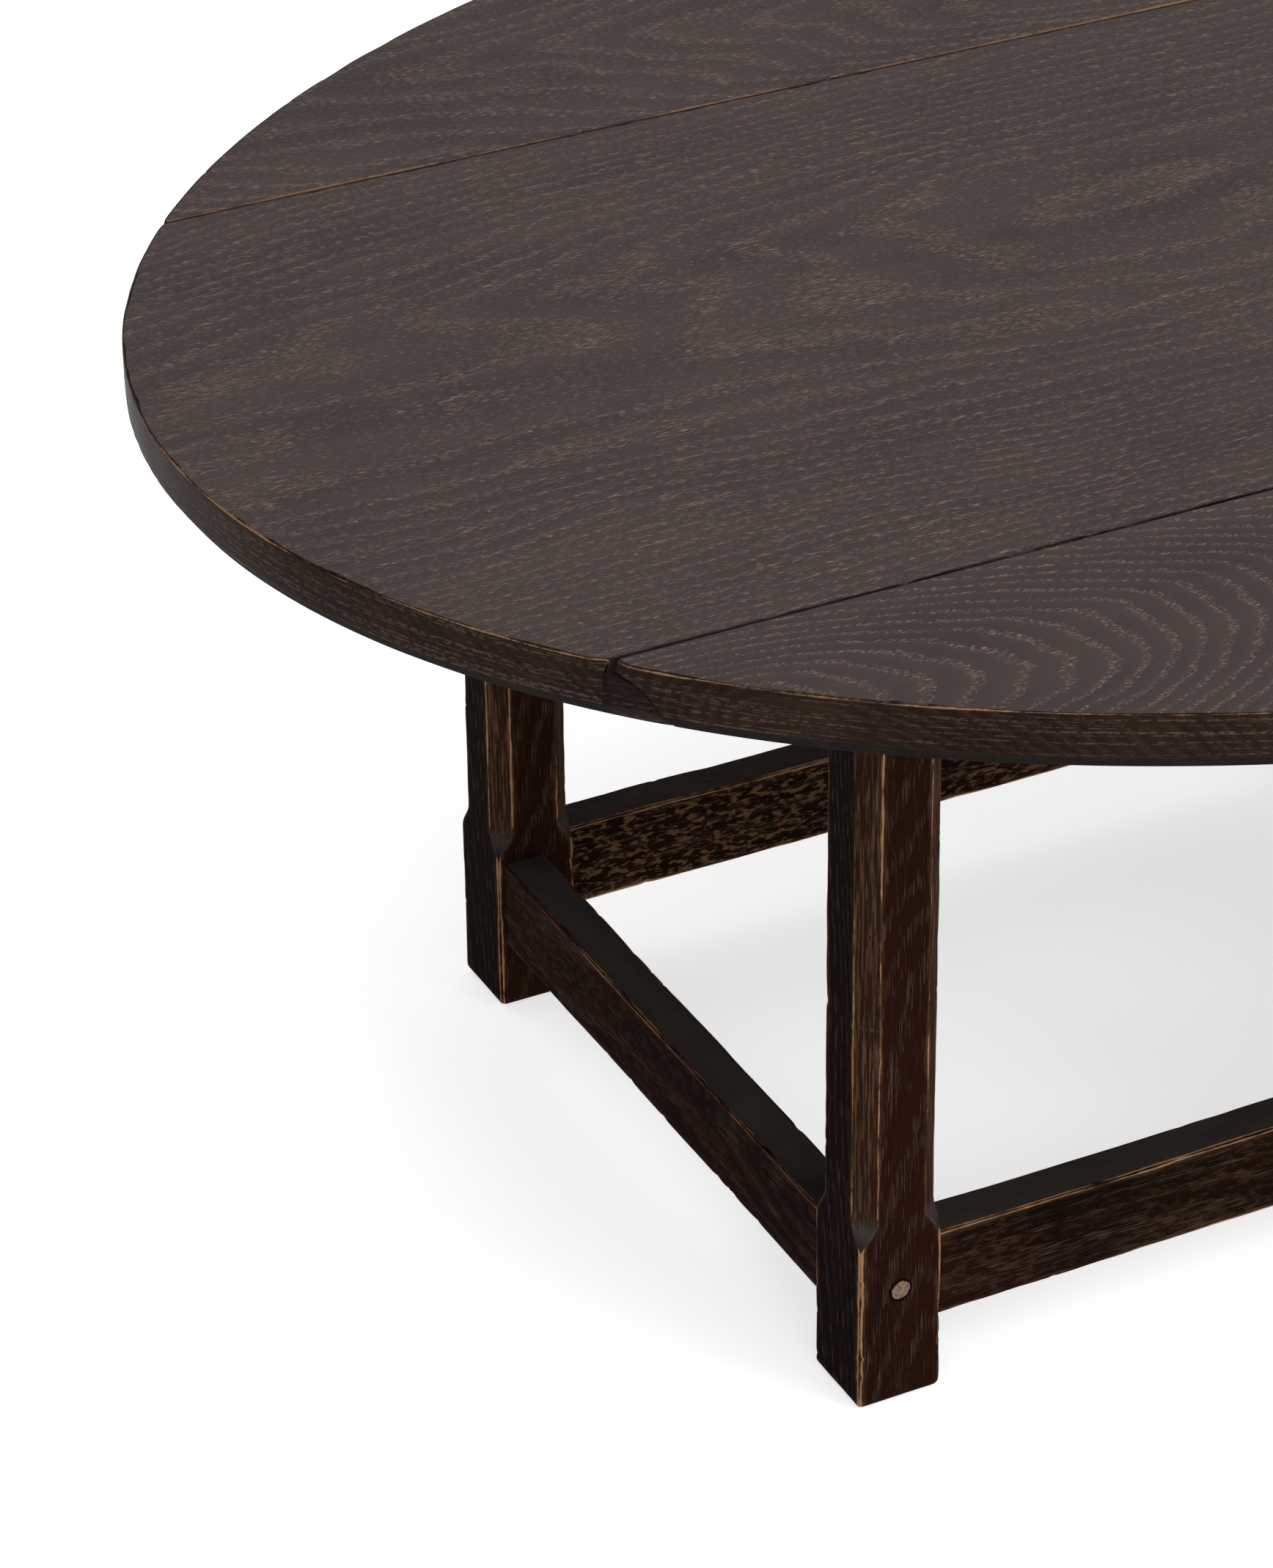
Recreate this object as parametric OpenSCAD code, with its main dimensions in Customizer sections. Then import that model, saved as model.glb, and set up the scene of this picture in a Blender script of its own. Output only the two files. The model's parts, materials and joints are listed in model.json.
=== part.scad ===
// Gateleg table: an oval drop-leaf top on a stop-chamfered frame with four swinging gates.
// Millimetres. The origin is on the floor under the middle of the top, +X runs along the
// rule joints and +Z is up. The model is drawn with both leaves level and the gates closed.
// Pieces on the back side (+Y) are drawn in place, and the front side is their mirror image.

/* [Overall] */
// Height of the upper face of the top above the floor
table_height = 457; // [381:1:760]
// Length of the oval top, along the rule joints
top_length = 1355; // [1220:5:1800]
// Width of the oval top with both leaves up
top_width = 960; // [880:5:1100]
// Thickness of the three boards of the top
top_thickness = 28; // [26:1:34]

/* [Frame] */
// Length of the frame over the legs
frame_length = 898; // [720:1:1000]
// Width of the frame over the legs
frame_width = 435; // [365:1:450]
// Side of each square leg
leg_size = 44; // [38:1:52]
// Setback of the stretchers and aprons from the outer faces of the legs
rail_setback = 3; // [1:0.5:5]
// Thickness of the stretchers and aprons
rail_thickness = 24; // [20:0.5:28]
// Height of a stretcher's lower face above the floor
stretcher_bottom = 40; // [25:1:60]
// Depth of a stretcher, from its lower to its upper face
stretcher_depth = 48; // [40:1:60]
// Depth of an apron, from its lower face to the top
apron_depth = 50; // [44:1:60]

/* [Chamfers] */
// Height of the square block at the foot of each leg
foot_block = 90; // [85:1:125]
// Height of the square block at the head of each leg
head_block = 52; // [46:1:64]
// Width that the chamfer takes off each face of a leg
chamfer_width = 9; // [4:0.5:12]
// Radius of the curved stop at each end of a chamfer
stop_radius = 16; // [10:1:30]

/* [Rule joint] */
// Width of the fixed centre board between the two joint lines
centre_width = 478; // [440:2:520]
// Height of the square fillet above the quarter round
fillet_height = 6; // [4:0.5:8]
// Radius of the quarter round on the centre board
ovolo_radius = 19; // [14:0.5:19]
// Gap between the quarter round and the hollow of the leaf
joint_gap = 1.2; // [0.8:0.1:2]
// Height of the bevel under the rim
rim_bevel_height = 7; // [3:0.5:10]
// Depth of the bevel under the rim
rim_bevel_depth = 5; // [2:0.5:8]

/* [Gates] */
// Distance from the pivot of a gate to the middle of its leg
gate_reach = 180; // [140:1:182]
// Distance from the right legs to the nearer closed gate legs
gate_end_gap = 58.5; // [20:0.5:80]
// Distance from the middle of one closed gate leg to the pivot of the next gate
gate_spacing = 60; // [56:1:75]
// Width of a gate post along the gate
post_width = 30; // [26:1:36]
// Thickness of the gate rails
gate_rail_thickness = 20; // [16:0.5:22]
// Depth of the gate rails
gate_rail_depth = 38; // [28:1:44]
// Height from a stretcher to the bottom gate rail, and from the top gate rail to an apron
gate_rail_margin = 22; // [18:1:36]
// Gap above the gate legs, and above and below the gate posts
gate_gap = 0.6; // [0.4:0.1:1.5]
// Side clearance of the half laps where the gate legs close into the frame
lap_gap = 1.5; // [1:0.1:3]
// Diameter of the pins on which the gate posts turn
pivot_diameter = 8; // [6:0.5:10]
// Length of each pivot pin, half of it in the post
pivot_length = 30; // [20:1:32]

/* [Joinery] */
// Thickness of all tenons
tenon_thickness = 8; // [6:0.5:9]
// Shoulder above and below each tenon
tenon_shoulder = 5; // [3:0.5:8]
// Length of the pegged tenons of the long stretchers and aprons
long_tenon = 33; // [28:1:34]
// Gap in the leg between the end of an end rail's tenon and the cheek of a long rail's tenon
tenon_clearance = 2.25; // [1:0.25:8]
// Length of the gate rail tenons in the gate legs
gate_leg_tenon = 28; // [20:1:32]
// Length of the gate rail tenons in the gate posts
gate_post_tenon = 20; // [14:1:22]
// Diameter of the pegs through the frame joints
peg_diameter = 10; // [6:0.5:11]
// Length of the pegs through the frame joints
peg_length = 20.5; // [16:0.5:20.5]
// Diameter of the pegs through the gate joints
gate_peg_diameter = 6; // [4:0.5:8]

/* [Hinges] */
// Length of each back-flap hinge along the joint
hinge_length = 50; // [40:1:60]
// Distance from the end of the joint line to the middle of the outer hinges
hinge_inset = 105; // [60:1:110]
// Thickness of the hinge plates
plate_thickness = 2.4; // [2:0.1:2.8]
// Width of the plate on the centre board
fixed_plate = 30; // [24:1:36]
// Width of the plate on the leaf
leaf_plate = 62; // [50:1:76]
// Radius of the hinge knuckles
knuckle_radius = 3; // [2.6:0.1:3]
// Diameter of the hinge pins
hinge_pin = 2.4; // [2:0.1:2.8]
// Shank diameter of the hinge screws
screw_diameter = 3.5; // [2.5:0.1:4]
// Length of the hinge screws
screw_length = 14; // [8:0.5:18]

/* [Small parts] */
// Width of the turn buttons along the apron
button_width = 30; // [20:1:40]
// Depth of the turn buttons from the apron inwards
button_depth = 28; // [22:1:36]
// Height of the turn buttons
button_height = 14; // [12:1:20]
// Distance from the middle of the frame to the outer turn buttons of the long aprons
outer_button = 260; // [150:5:280]
// Distance to the left of the frame's middle of the middle turn buttons of the long aprons
middle_button = 29; // [0:1:60]
// Length of the screws of the turn buttons
button_screw_length = 30; // [26:1:34]
// Width of the stop blocks under the leaves
stop_width = 12; // [8:1:12]
// Height of the stop blocks under the leaves
stop_height = 10; // [5:0.5:10]
// Length of the stop blocks under the leaves
stop_length = 34; // [20:1:50]

/* [Hidden] */
$fn = 48;

// Heights
board_bottom = table_height - top_thickness;
stretcher_top = stretcher_bottom + stretcher_depth;
apron_bottom = board_bottom - apron_depth;

// Frame plan: the middle of the long rails is where the gates pivot and close
rail_middle = frame_width / 2 - rail_setback - rail_thickness / 2;
end_rail_middle = frame_length / 2 - rail_setback - rail_thickness / 2;
leg_x = frame_length / 2 - leg_size / 2;
leg_y = frame_width / 2 - leg_size / 2;
end_tenon = leg_size - rail_setback - (rail_thickness + tenon_thickness) / 2 - tenon_clearance;
long_clear = frame_length - 2 * leg_size;
end_clear = frame_width - 2 * leg_size;

// Gates: the right one is set from the right legs, the left one from the right one
right_pivot = frame_length / 2 - leg_size - gate_end_gap - leg_size / 2 - gate_reach;
left_pivot = right_pivot - gate_spacing - gate_reach;
PIVOTS = [left_pivot, right_pivot];
gate_leg_height = board_bottom - gate_gap;
post_bottom = stretcher_top + gate_gap;
post_top = apron_bottom - gate_gap;
bottom_rail_z = stretcher_top + gate_rail_margin;
top_rail_z = apron_bottom - gate_rail_margin - gate_rail_depth;
running_clearance = 0.05;

// Rule joint: the hinge axis is the centre of the quarter round
joint_y = centre_width / 2;
axis_z = table_height - fillet_height - ovolo_radius;
joint_half_length = top_length / 2 * sqrt(1 - pow(centre_width / top_width, 2));

// Hinges
hinge_x = joint_half_length - hinge_inset;
HINGE_PLACES = [-hinge_x, 0, hinge_x];
KNUCKLES = 5;
knuckle_length = hinge_length / KNUCKLES;
knuckle_gap = 0.3;
web_reach = knuckle_radius + 1.3;
housing_gap = 0.6;
head_depth = 1.8;
head_radius = screw_diameter;

// Turn buttons: the tongue sits in a groove of the apron
groove_depth = 6;
tongue_height = 6;
tongue_length = 5;
button_screw_diameter = 4;
LONG_BUTTONS = [-outer_button, -middle_button, outer_button];

RIM_SIDES = 144;
cut = 1;

// ---------------------------------------------------------------- shapes used more than once

// A box centred on X and Y that stands on the given height
module bar(size, z) {
    translate([-size[0] / 2, -size[1] / 2, z])
        cube(size);
}

// Everything given here is drawn at the back, or mirrored to the front
module on_side(back) {
    mirror([0, back ? 0 : 1, 0])
        children();
}

// Everything given here is drawn at the right, or mirrored to the left
module at_end(right) {
    mirror([right ? 0 : 1, 0, 0])
        children();
}

// The cutter of one stopped chamfer: a slot with round ends, seen along the face of the cut
module chamfer_cutter(low, high) {
    half_diagonal = leg_size / sqrt(2);
    depth = chamfer_width / sqrt(2);
    rise = sqrt(pow(stop_radius, 2) - pow(stop_radius - depth, 2));
    slot = high - low - 2 * rise;
    translate([half_diagonal - depth, leg_size, low + rise])
        rotate([90, 0, 0])
            linear_extrude(2 * leg_size) {
                square([2 * stop_radius, slot]);
                translate([stop_radius, 0])
                    circle(stop_radius);
                translate([stop_radius, slot])
                    circle(stop_radius);
            }
}

// A square leg with four stopped chamfers, standing on the floor
module chamfered_leg(height, chamfer_top) {
    difference() {
        bar([leg_size, leg_size, height], 0);
        for (corner = [0:3])
            rotate([0, 0, 45 + 90 * corner])
                chamfer_cutter(foot_block, chamfer_top);
    }
}

// A tenon along +X, centred on Y, starting at the shoulder
module tenon(length, low, depth) {
    translate([0, -tenon_thickness / 2, low + tenon_shoulder])
        cube([length, tenon_thickness, depth - 2 * tenon_shoulder]);
}

// A rail along X with a tenon at each end, centred on X and Y
module tenoned_rail(length, thickness, low, depth, tenon_length) {
    bar([length, thickness, depth], low);
    for (end = [0, 180])
        rotate([0, 0, end])
            translate([length / 2, 0, 0])
                tenon(tenon_length, low, depth);
}

// A countersunk screw that points up, with the face of its head at height 0
module screw(diameter, length, head) {
    cylinder(h = head_depth, r1 = head, r2 = diameter / 2);
    cylinder(h = length, d = diameter);
}

// ---------------------------------------------------------------- top

// One point of the rim, moved in by inset at height z
function rim_point(i, inset, z) = [
    (top_length / 2 - inset) * cos(i * 360 / RIM_SIDES),
    (top_width / 2 - inset) * sin(i * 360 / RIM_SIDES),
    z
];

// The oval blank of the whole top, with its bevelled under-edge
module top_blank() {
    rings = [
        [rim_bevel_depth, board_bottom],
        [0, board_bottom + rim_bevel_height],
        [0, table_height]
    ];
    points = [for (ring = rings) for (i = [0:RIM_SIDES - 1]) rim_point(i, ring[0], ring[1])];
    bottom = [[for (i = [0:RIM_SIDES - 1]) i]];
    top = [[for (i = [RIM_SIDES - 1:-1:0]) 2 * RIM_SIDES + i]];
    sides = [
        for (ring = [0, 1]) for (i = [0:RIM_SIDES - 1])
            let (a = ring * RIM_SIDES + i, b = ring * RIM_SIDES + (i + 1) % RIM_SIDES)
                [a, a + RIM_SIDES, b + RIM_SIDES, b]
    ];
    polyhedron(points, concat(bottom, top, sides));
}

// A section in Y and Z, drawn out along X over the whole top
module along_top() {
    translate([-top_length, 0, 0])
        rotate([90, 0, 90])
            linear_extrude(2 * top_length)
                children();
}

// The centre board's section: a strip with a fillet and a quarter round on each edge
module centre_section() {
    translate([-joint_y, board_bottom - cut])
        square([centre_width, top_thickness + 2 * cut]);
    for (side = [-1, 1])
        translate([side * joint_y, 0])
            intersection() {
                union() {
                    translate([0, axis_z])
                        circle(ovolo_radius);
                    translate([-ovolo_radius, board_bottom - cut])
                        square([2 * ovolo_radius, axis_z - board_bottom + cut]);
                }
                translate([-ovolo_radius, board_bottom - cut])
                    square([2 * ovolo_radius, top_thickness]);
            }
}

// The back leaf's section: everything outside the joint line, less the hollow
module leaf_section() {
    hollow = ovolo_radius + joint_gap;
    difference() {
        translate([joint_y + joint_gap, board_bottom - cut])
            square([top_width, top_thickness + 2 * cut]);
        translate([joint_y, axis_z])
            circle(hollow);
        translate([joint_y, board_bottom - 2 * cut])
            square([hollow, axis_z - board_bottom + 2 * cut]);
    }
}

// The room that one hinge's knuckles and leaf plate need in the centre board, at the back
module hinge_housing() {
    length = hinge_length + 2 * cut;
    reach = web_reach + housing_gap;
    top_of_plate = board_bottom + plate_thickness;
    translate([-length / 2, joint_y, axis_z])
        rotate([0, 90, 0])
            cylinder(h = length, r = knuckle_radius + housing_gap);
    translate([-length / 2, joint_y - reach, board_bottom - cut])
        cube([length, 2 * reach, axis_z - board_bottom + cut]);
    translate([-length / 2, joint_y, board_bottom - cut])
        cube([length, ovolo_radius + cut, top_of_plate - board_bottom + housing_gap + cut]);
}

// The seats of one hinge's fixed plate and its screws in the centre board, at the back
module fixed_plate_seat() {
    translate([-hinge_length / 2, joint_y - fixed_plate, board_bottom - cut])
        cube([hinge_length, fixed_plate, plate_thickness + cut]);
    fixed_screw_places()
        screw(screw_diameter, screw_length, head_radius);
}

module fixed_screw_places() {
    for (place = [-0.34, 0, 0.34])
        translate([place * hinge_length, joint_y - fixed_plate * (place == 0 ? 0.68 : 0.42), board_bottom])
            children();
}

module leaf_screw_places() {
    first = ovolo_radius + (leaf_plate - ovolo_radius) * 0.4;
    last = ovolo_radius + (leaf_plate - ovolo_radius) * 0.8;
    for (place = [-0.34, 0, 0.34])
        translate([place * hinge_length, joint_y + (place == 0 ? last : first), board_bottom])
            children();
}

module centre_board() {
    color([0.24, 0.21, 0.20])
        difference() {
            intersection() {
                top_blank();
                along_top()
                    centre_section();
            }
            for (back = [false, true])
                for (x = HINGE_PLACES)
                    on_side(back)
                        translate([x, 0, 0]) {
                            hinge_housing();
                            fixed_plate_seat();
                        }
            button_places()
                button_screw();
        }
}

module leaf(back) {
    color([0.24, 0.21, 0.20])
        on_side(back)
            difference() {
                intersection() {
                    top_blank();
                    along_top()
                        leaf_section();
                }
                for (x = HINGE_PLACES)
                    translate([x, 0, 0]) {
                        translate([-hinge_length / 2, joint_y, board_bottom - cut])
                            cube([hinge_length, leaf_plate, plate_thickness + cut]);
                        leaf_screw_places()
                            screw(screw_diameter, screw_length, head_radius);
                    }
            }
}

// ---------------------------------------------------------------- frame

// The long rail's tenon in the leg's own place, from the shoulder towards the leg
module long_joint(low, depth) {
    translate([long_clear / 2, rail_middle, 0])
        tenon(long_tenon, low, depth);
}

module end_joint(low, depth) {
    translate([end_rail_middle, end_clear / 2, 0])
        rotate([0, 0, 90])
            tenon(end_tenon, low, depth);
}

// The two pegs of one leg, one through each long tenon
module leg_pegs() {
    for (z = [stretcher_bottom + stretcher_depth / 2, apron_bottom + apron_depth / 2])
        translate([leg_x, frame_width / 2 - peg_length, z])
            rotate([-90, 0, 0])
                cylinder(h = peg_length, d = peg_diameter);
}

module leg(right, back) {
    color([0.13, 0.09, 0.07])
        at_end(right)
            on_side(back)
                difference() {
                    translate([leg_x, leg_y, 0])
                        chamfered_leg(board_bottom, board_bottom - head_block);
                    long_joint(stretcher_bottom, stretcher_depth);
                    long_joint(apron_bottom, apron_depth);
                    end_joint(stretcher_bottom, stretcher_depth);
                    end_joint(apron_bottom, apron_depth);
                    leg_pegs();
                }
}

// What every long rail loses: the outer half where the gate legs close in, and the peg holes
module long_rail_cuts(low, depth) {
    for (pivot = PIVOTS)
        translate([pivot + gate_reach - leg_size / 2 - lap_gap, rail_middle, low - cut])
            cube([leg_size + 2 * lap_gap, rail_thickness, depth + 2 * cut]);
    for (right = [false, true])
        at_end(right)
            leg_pegs();
}

module pivot_pins() {
    for (pivot = PIVOTS)
        for (z = [stretcher_top, apron_bottom])
            translate([pivot, rail_middle, z - pivot_length / 2])
                cylinder(h = pivot_length, d = pivot_diameter);
}

module stretcher_long(back) {
    color([0.15, 0.11, 0.09])
        on_side(back)
            difference() {
                translate([0, rail_middle, 0])
                    tenoned_rail(long_clear, rail_thickness, stretcher_bottom, stretcher_depth, long_tenon);
                long_rail_cuts(stretcher_bottom, stretcher_depth);
                pivot_pins();
            }
}

module apron_long(back) {
    color([0.15, 0.11, 0.09])
        on_side(back)
            difference() {
                translate([0, rail_middle, 0])
                    tenoned_rail(long_clear, rail_thickness, apron_bottom, apron_depth, long_tenon);
                long_rail_cuts(apron_bottom, apron_depth);
                pivot_pins();
                translate([0, rail_middle - rail_thickness / 2, board_bottom - button_height])
                    translate([-long_clear / 2, -cut, 0])
                        cube([long_clear, groove_depth + cut, tongue_height]);
            }
}

module stretcher_end(right) {
    color([0.15, 0.11, 0.09])
        at_end(right)
            translate([end_rail_middle, 0, 0])
                rotate([0, 0, 90])
                    tenoned_rail(end_clear, rail_thickness, stretcher_bottom, stretcher_depth, end_tenon);
}

module apron_end(right) {
    color([0.15, 0.11, 0.09])
        at_end(right)
            difference() {
                translate([end_rail_middle, 0, 0])
                    rotate([0, 0, 90])
                        tenoned_rail(end_clear, rail_thickness, apron_bottom, apron_depth, end_tenon);
                translate([end_rail_middle - rail_thickness / 2 - cut, -end_clear / 2, board_bottom - button_height])
                    cube([groove_depth + cut, end_clear, tongue_height]);
            }
}

module frame_pegs() {
    color([0.42, 0.34, 0.27])
        for (right = [false, true])
            for (back = [false, true])
                at_end(right)
                    on_side(back)
                        leg_pegs();
}

module gate_pivots() {
    color([0.30, 0.29, 0.28])
        for (back = [false, true])
            on_side(back)
                pivot_pins();
}

// Puts a button in each of its places, with its tongue pointing along +Y
module button_places() {
    for (back = [false, true])
        for (x = LONG_BUTTONS)
            on_side(back)
                translate([x, rail_middle - rail_thickness / 2, board_bottom])
                    children();
    for (right = [false, true])
        at_end(right)
            translate([end_rail_middle - rail_thickness / 2, 0, board_bottom])
                rotate([0, 0, -90])
                    children();
}

module button() {
    difference() {
        union() {
            translate([-button_width / 2, -button_depth, -button_height])
                cube([button_width, button_depth, button_height]);
            translate([-button_width / 2, -cut, -button_height])
                cube([button_width, tongue_length + cut, tongue_height]);
        }
        button_screw();
    }
}

module button_screw() {
    translate([0, -button_depth * 0.6, -button_height])
        screw(button_screw_diameter, button_screw_length, button_screw_diameter);
}

module buttons() {
    color([0.40, 0.31, 0.22])
        button_places()
            button();
}

module button_screws() {
    color([0.45, 0.44, 0.42])
        button_places()
            button_screw();
}

// ---------------------------------------------------------------- gates

// The pegs of one gate, two through its leg and two through its post, in gate coordinates
module gate_peg_set() {
    leg_peg_x = gate_reach - leg_size / 2 + gate_leg_tenon / 2;
    post_peg_x = post_width / 2 - gate_post_tenon / 2;
    for (low = [bottom_rail_z, top_rail_z])
        translate([0, 0, low + gate_rail_depth / 2]) {
            translate([leg_peg_x, leg_size / 2, 0])
                rotate([90, 0, 0])
                    cylinder(h = leg_size, d = gate_peg_diameter);
            translate([post_peg_x, rail_thickness / 2, 0])
                rotate([90, 0, 0])
                    cylinder(h = rail_thickness, d = gate_peg_diameter);
        }
}

// One gate rail with its tenons, in gate coordinates
module gate_rail_shape(low) {
    rail_start = post_width / 2;
    rail_end = gate_reach - leg_size / 2;
    translate([rail_start, -gate_rail_thickness / 2, low])
        cube([rail_end - rail_start, gate_rail_thickness, gate_rail_depth]);
    translate([rail_end, 0, 0])
        tenon(gate_leg_tenon, low, gate_rail_depth);
    translate([rail_start - gate_post_tenon, 0, 0])
        tenon(gate_post_tenon, low, gate_rail_depth);
}

// Puts what is drawn at a pivot into one gate's place
module at_pivot(right, back) {
    on_side(back)
        translate([PIVOTS[right ? 1 : 0], rail_middle, 0])
            children();
}

module gate_leg(right, back) {
    laps = [
        [stretcher_bottom - lap_gap, stretcher_depth + 2 * lap_gap],
        [apron_bottom - lap_gap, apron_depth + lap_gap]
    ];
    color([0.13, 0.09, 0.07])
        at_pivot(right, back)
            difference() {
                translate([gate_reach, 0, 0])
                    chamfered_leg(gate_leg_height, board_bottom - head_block);
                for (lap = laps)
                    translate([gate_reach - leg_size, -leg_size, lap[0]])
                        cube([2 * leg_size, leg_size + lap_gap / 3, lap[1]]);
                gate_rail_shape(bottom_rail_z);
                gate_rail_shape(top_rail_z);
                gate_peg_set();
            }
}

module gate_post(right, back) {
    bore = pivot_diameter + 2 * running_clearance;
    depth = pivot_length / 2;
    color([0.14, 0.10, 0.08])
        at_pivot(right, back)
            difference() {
                bar([post_width, rail_thickness, post_top - post_bottom], post_bottom);
                translate([0, 0, post_bottom - cut])
                    cylinder(h = depth + cut, d = bore);
                translate([0, 0, post_top - depth])
                    cylinder(h = depth + cut, d = bore);
                gate_rail_shape(bottom_rail_z);
                gate_rail_shape(top_rail_z);
                gate_peg_set();
            }
}

module gate_rail(right, back, low) {
    color([0.15, 0.11, 0.09])
        at_pivot(right, back)
            difference() {
                gate_rail_shape(low);
                gate_peg_set();
            }
}

module gate_pegs(right, back) {
    color([0.42, 0.34, 0.27])
        at_pivot(right, back)
            gate_peg_set();
}

module stops(back) {
    color([0.15, 0.11, 0.09])
        on_side(back)
            for (pivot = PIVOTS)
                translate([
                    pivot - leg_size / 2 - gate_gap - stop_width,
                    rail_middle + gate_reach - stop_length / 2,
                    board_bottom - stop_height
                ])
                    cube([stop_width, stop_length, stop_height]);
}

// ---------------------------------------------------------------- hinges

// One hinge plate at the back, on the board side (-1) or the leaf side (1) of the axis
module hinge_plate(side, width) {
    first = side < 0 ? 0 : 1;
    shrink = side < 0 ? 0 : knuckle_gap;
    bore = side < 0 ? hinge_pin : hinge_pin + 2 * running_clearance;
    difference() {
        union() {
            translate([-hinge_length / 2, joint_y + (side < 0 ? -width : web_reach), board_bottom])
                cube([hinge_length, width - web_reach, plate_thickness]);
            for (k = [first:2:KNUCKLES - 1])
                translate([-hinge_length / 2 + k * knuckle_length + shrink, joint_y, 0]) {
                    translate([0, side < 0 ? -web_reach - cut : 0, board_bottom])
                        cube([knuckle_length - 2 * shrink, web_reach + cut, plate_thickness]);
                    translate([0, 0, axis_z])
                        rotate([0, 90, 0])
                            cylinder(h = knuckle_length - 2 * shrink, r = knuckle_radius);
                }
        }
        translate([-hinge_length, joint_y, axis_z])
            rotate([0, 90, 0])
                cylinder(h = 2 * hinge_length, d = bore);
        if (side < 0)
            fixed_screw_places()
                screw(screw_diameter, screw_length, head_radius);
        else
            leaf_screw_places()
                screw(screw_diameter, screw_length, head_radius);
    }
}

module plate_fixed(place, back) {
    color([0.20, 0.19, 0.18])
        on_side(back)
            translate([HINGE_PLACES[place], 0, 0])
                hinge_plate(-1, fixed_plate);
}

module plate_leaf(place, back) {
    color([0.20, 0.19, 0.18])
        on_side(back)
            translate([HINGE_PLACES[place], 0, 0])
                hinge_plate(1, leaf_plate);
}

module hinge_pins() {
    color([0.30, 0.29, 0.28])
        for (back = [false, true])
            for (x = HINGE_PLACES)
                on_side(back)
                    translate([x - hinge_length / 2, joint_y, axis_z])
                        rotate([0, 90, 0])
                            cylinder(h = hinge_length, d = hinge_pin);
}

module screws_fixed() {
    color([0.45, 0.44, 0.42])
        for (back = [false, true])
            for (x = HINGE_PLACES)
                on_side(back)
                    translate([x, 0, 0])
                        fixed_screw_places()
                            screw(screw_diameter, screw_length, head_radius);
}

module screws_leaf(back) {
    color([0.45, 0.44, 0.42])
        for (x = HINGE_PLACES)
            on_side(back)
                translate([x, 0, 0])
                    leaf_screw_places()
                        screw(screw_diameter, screw_length, head_radius);
}

// ---------------------------------------------------------------- nodes

centre_board();
leaf(false);  // leaf_front
leaf(true);  // leaf_back

leg(false, false);  // leg_front_left
leg(true, false);  // leg_front_right
leg(false, true);  // leg_back_left
leg(true, true);  // leg_back_right

apron_long(false);  // apron_front
apron_long(true);  // apron_back
apron_end(false);  // apron_left
apron_end(true);  // apron_right

stretcher_long(false);  // stretcher_front
stretcher_long(true);  // stretcher_back
stretcher_end(false);  // stretcher_left
stretcher_end(true);  // stretcher_right

frame_pegs();
gate_pivots();
buttons();
button_screws();

gate_leg(false, false);  // gate_leg_front_left
gate_post(false, false);  // gate_post_front_left
gate_rail(false, false, top_rail_z);  // gate_top_rail_front_left
gate_rail(false, false, bottom_rail_z);  // gate_bottom_rail_front_left
gate_pegs(false, false);  // gate_pegs_front_left

gate_leg(true, false);  // gate_leg_front_right
gate_post(true, false);  // gate_post_front_right
gate_rail(true, false, top_rail_z);  // gate_top_rail_front_right
gate_rail(true, false, bottom_rail_z);  // gate_bottom_rail_front_right
gate_pegs(true, false);  // gate_pegs_front_right

gate_leg(false, true);  // gate_leg_back_left
gate_post(false, true);  // gate_post_back_left
gate_rail(false, true, top_rail_z);  // gate_top_rail_back_left
gate_rail(false, true, bottom_rail_z);  // gate_bottom_rail_back_left
gate_pegs(false, true);  // gate_pegs_back_left

gate_leg(true, true);  // gate_leg_back_right
gate_post(true, true);  // gate_post_back_right
gate_rail(true, true, top_rail_z);  // gate_top_rail_back_right
gate_rail(true, true, bottom_rail_z);  // gate_bottom_rail_back_right
gate_pegs(true, true);  // gate_pegs_back_right

plate_fixed(0, false);  // plate_fixed_front_left
plate_fixed(1, false);  // plate_fixed_front_middle
plate_fixed(2, false);  // plate_fixed_front_right
plate_fixed(0, true);  // plate_fixed_back_left
plate_fixed(1, true);  // plate_fixed_back_middle
plate_fixed(2, true);  // plate_fixed_back_right

plate_leaf(0, false);  // plate_leaf_front_left
plate_leaf(1, false);  // plate_leaf_front_middle
plate_leaf(2, false);  // plate_leaf_front_right
plate_leaf(0, true);  // plate_leaf_back_left
plate_leaf(1, true);  // plate_leaf_back_middle
plate_leaf(2, true);  // plate_leaf_back_right

hinge_pins();
screws_fixed();
screws_leaf(false);  // screws_leaf_front
screws_leaf(true);  // screws_leaf_back
stops(false);  // stops_front
stops(true);  // stops_back
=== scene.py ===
"""The looks of a low gateleg table in dark, worn oak: timbers, pegs, ironwork, and a plain studio."""

import json
import math

import bmesh
import bpy
import numpy as np
from bpy.props import FloatProperty, FloatVectorProperty, PointerProperty
from mathutils import Matrix, Vector


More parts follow.
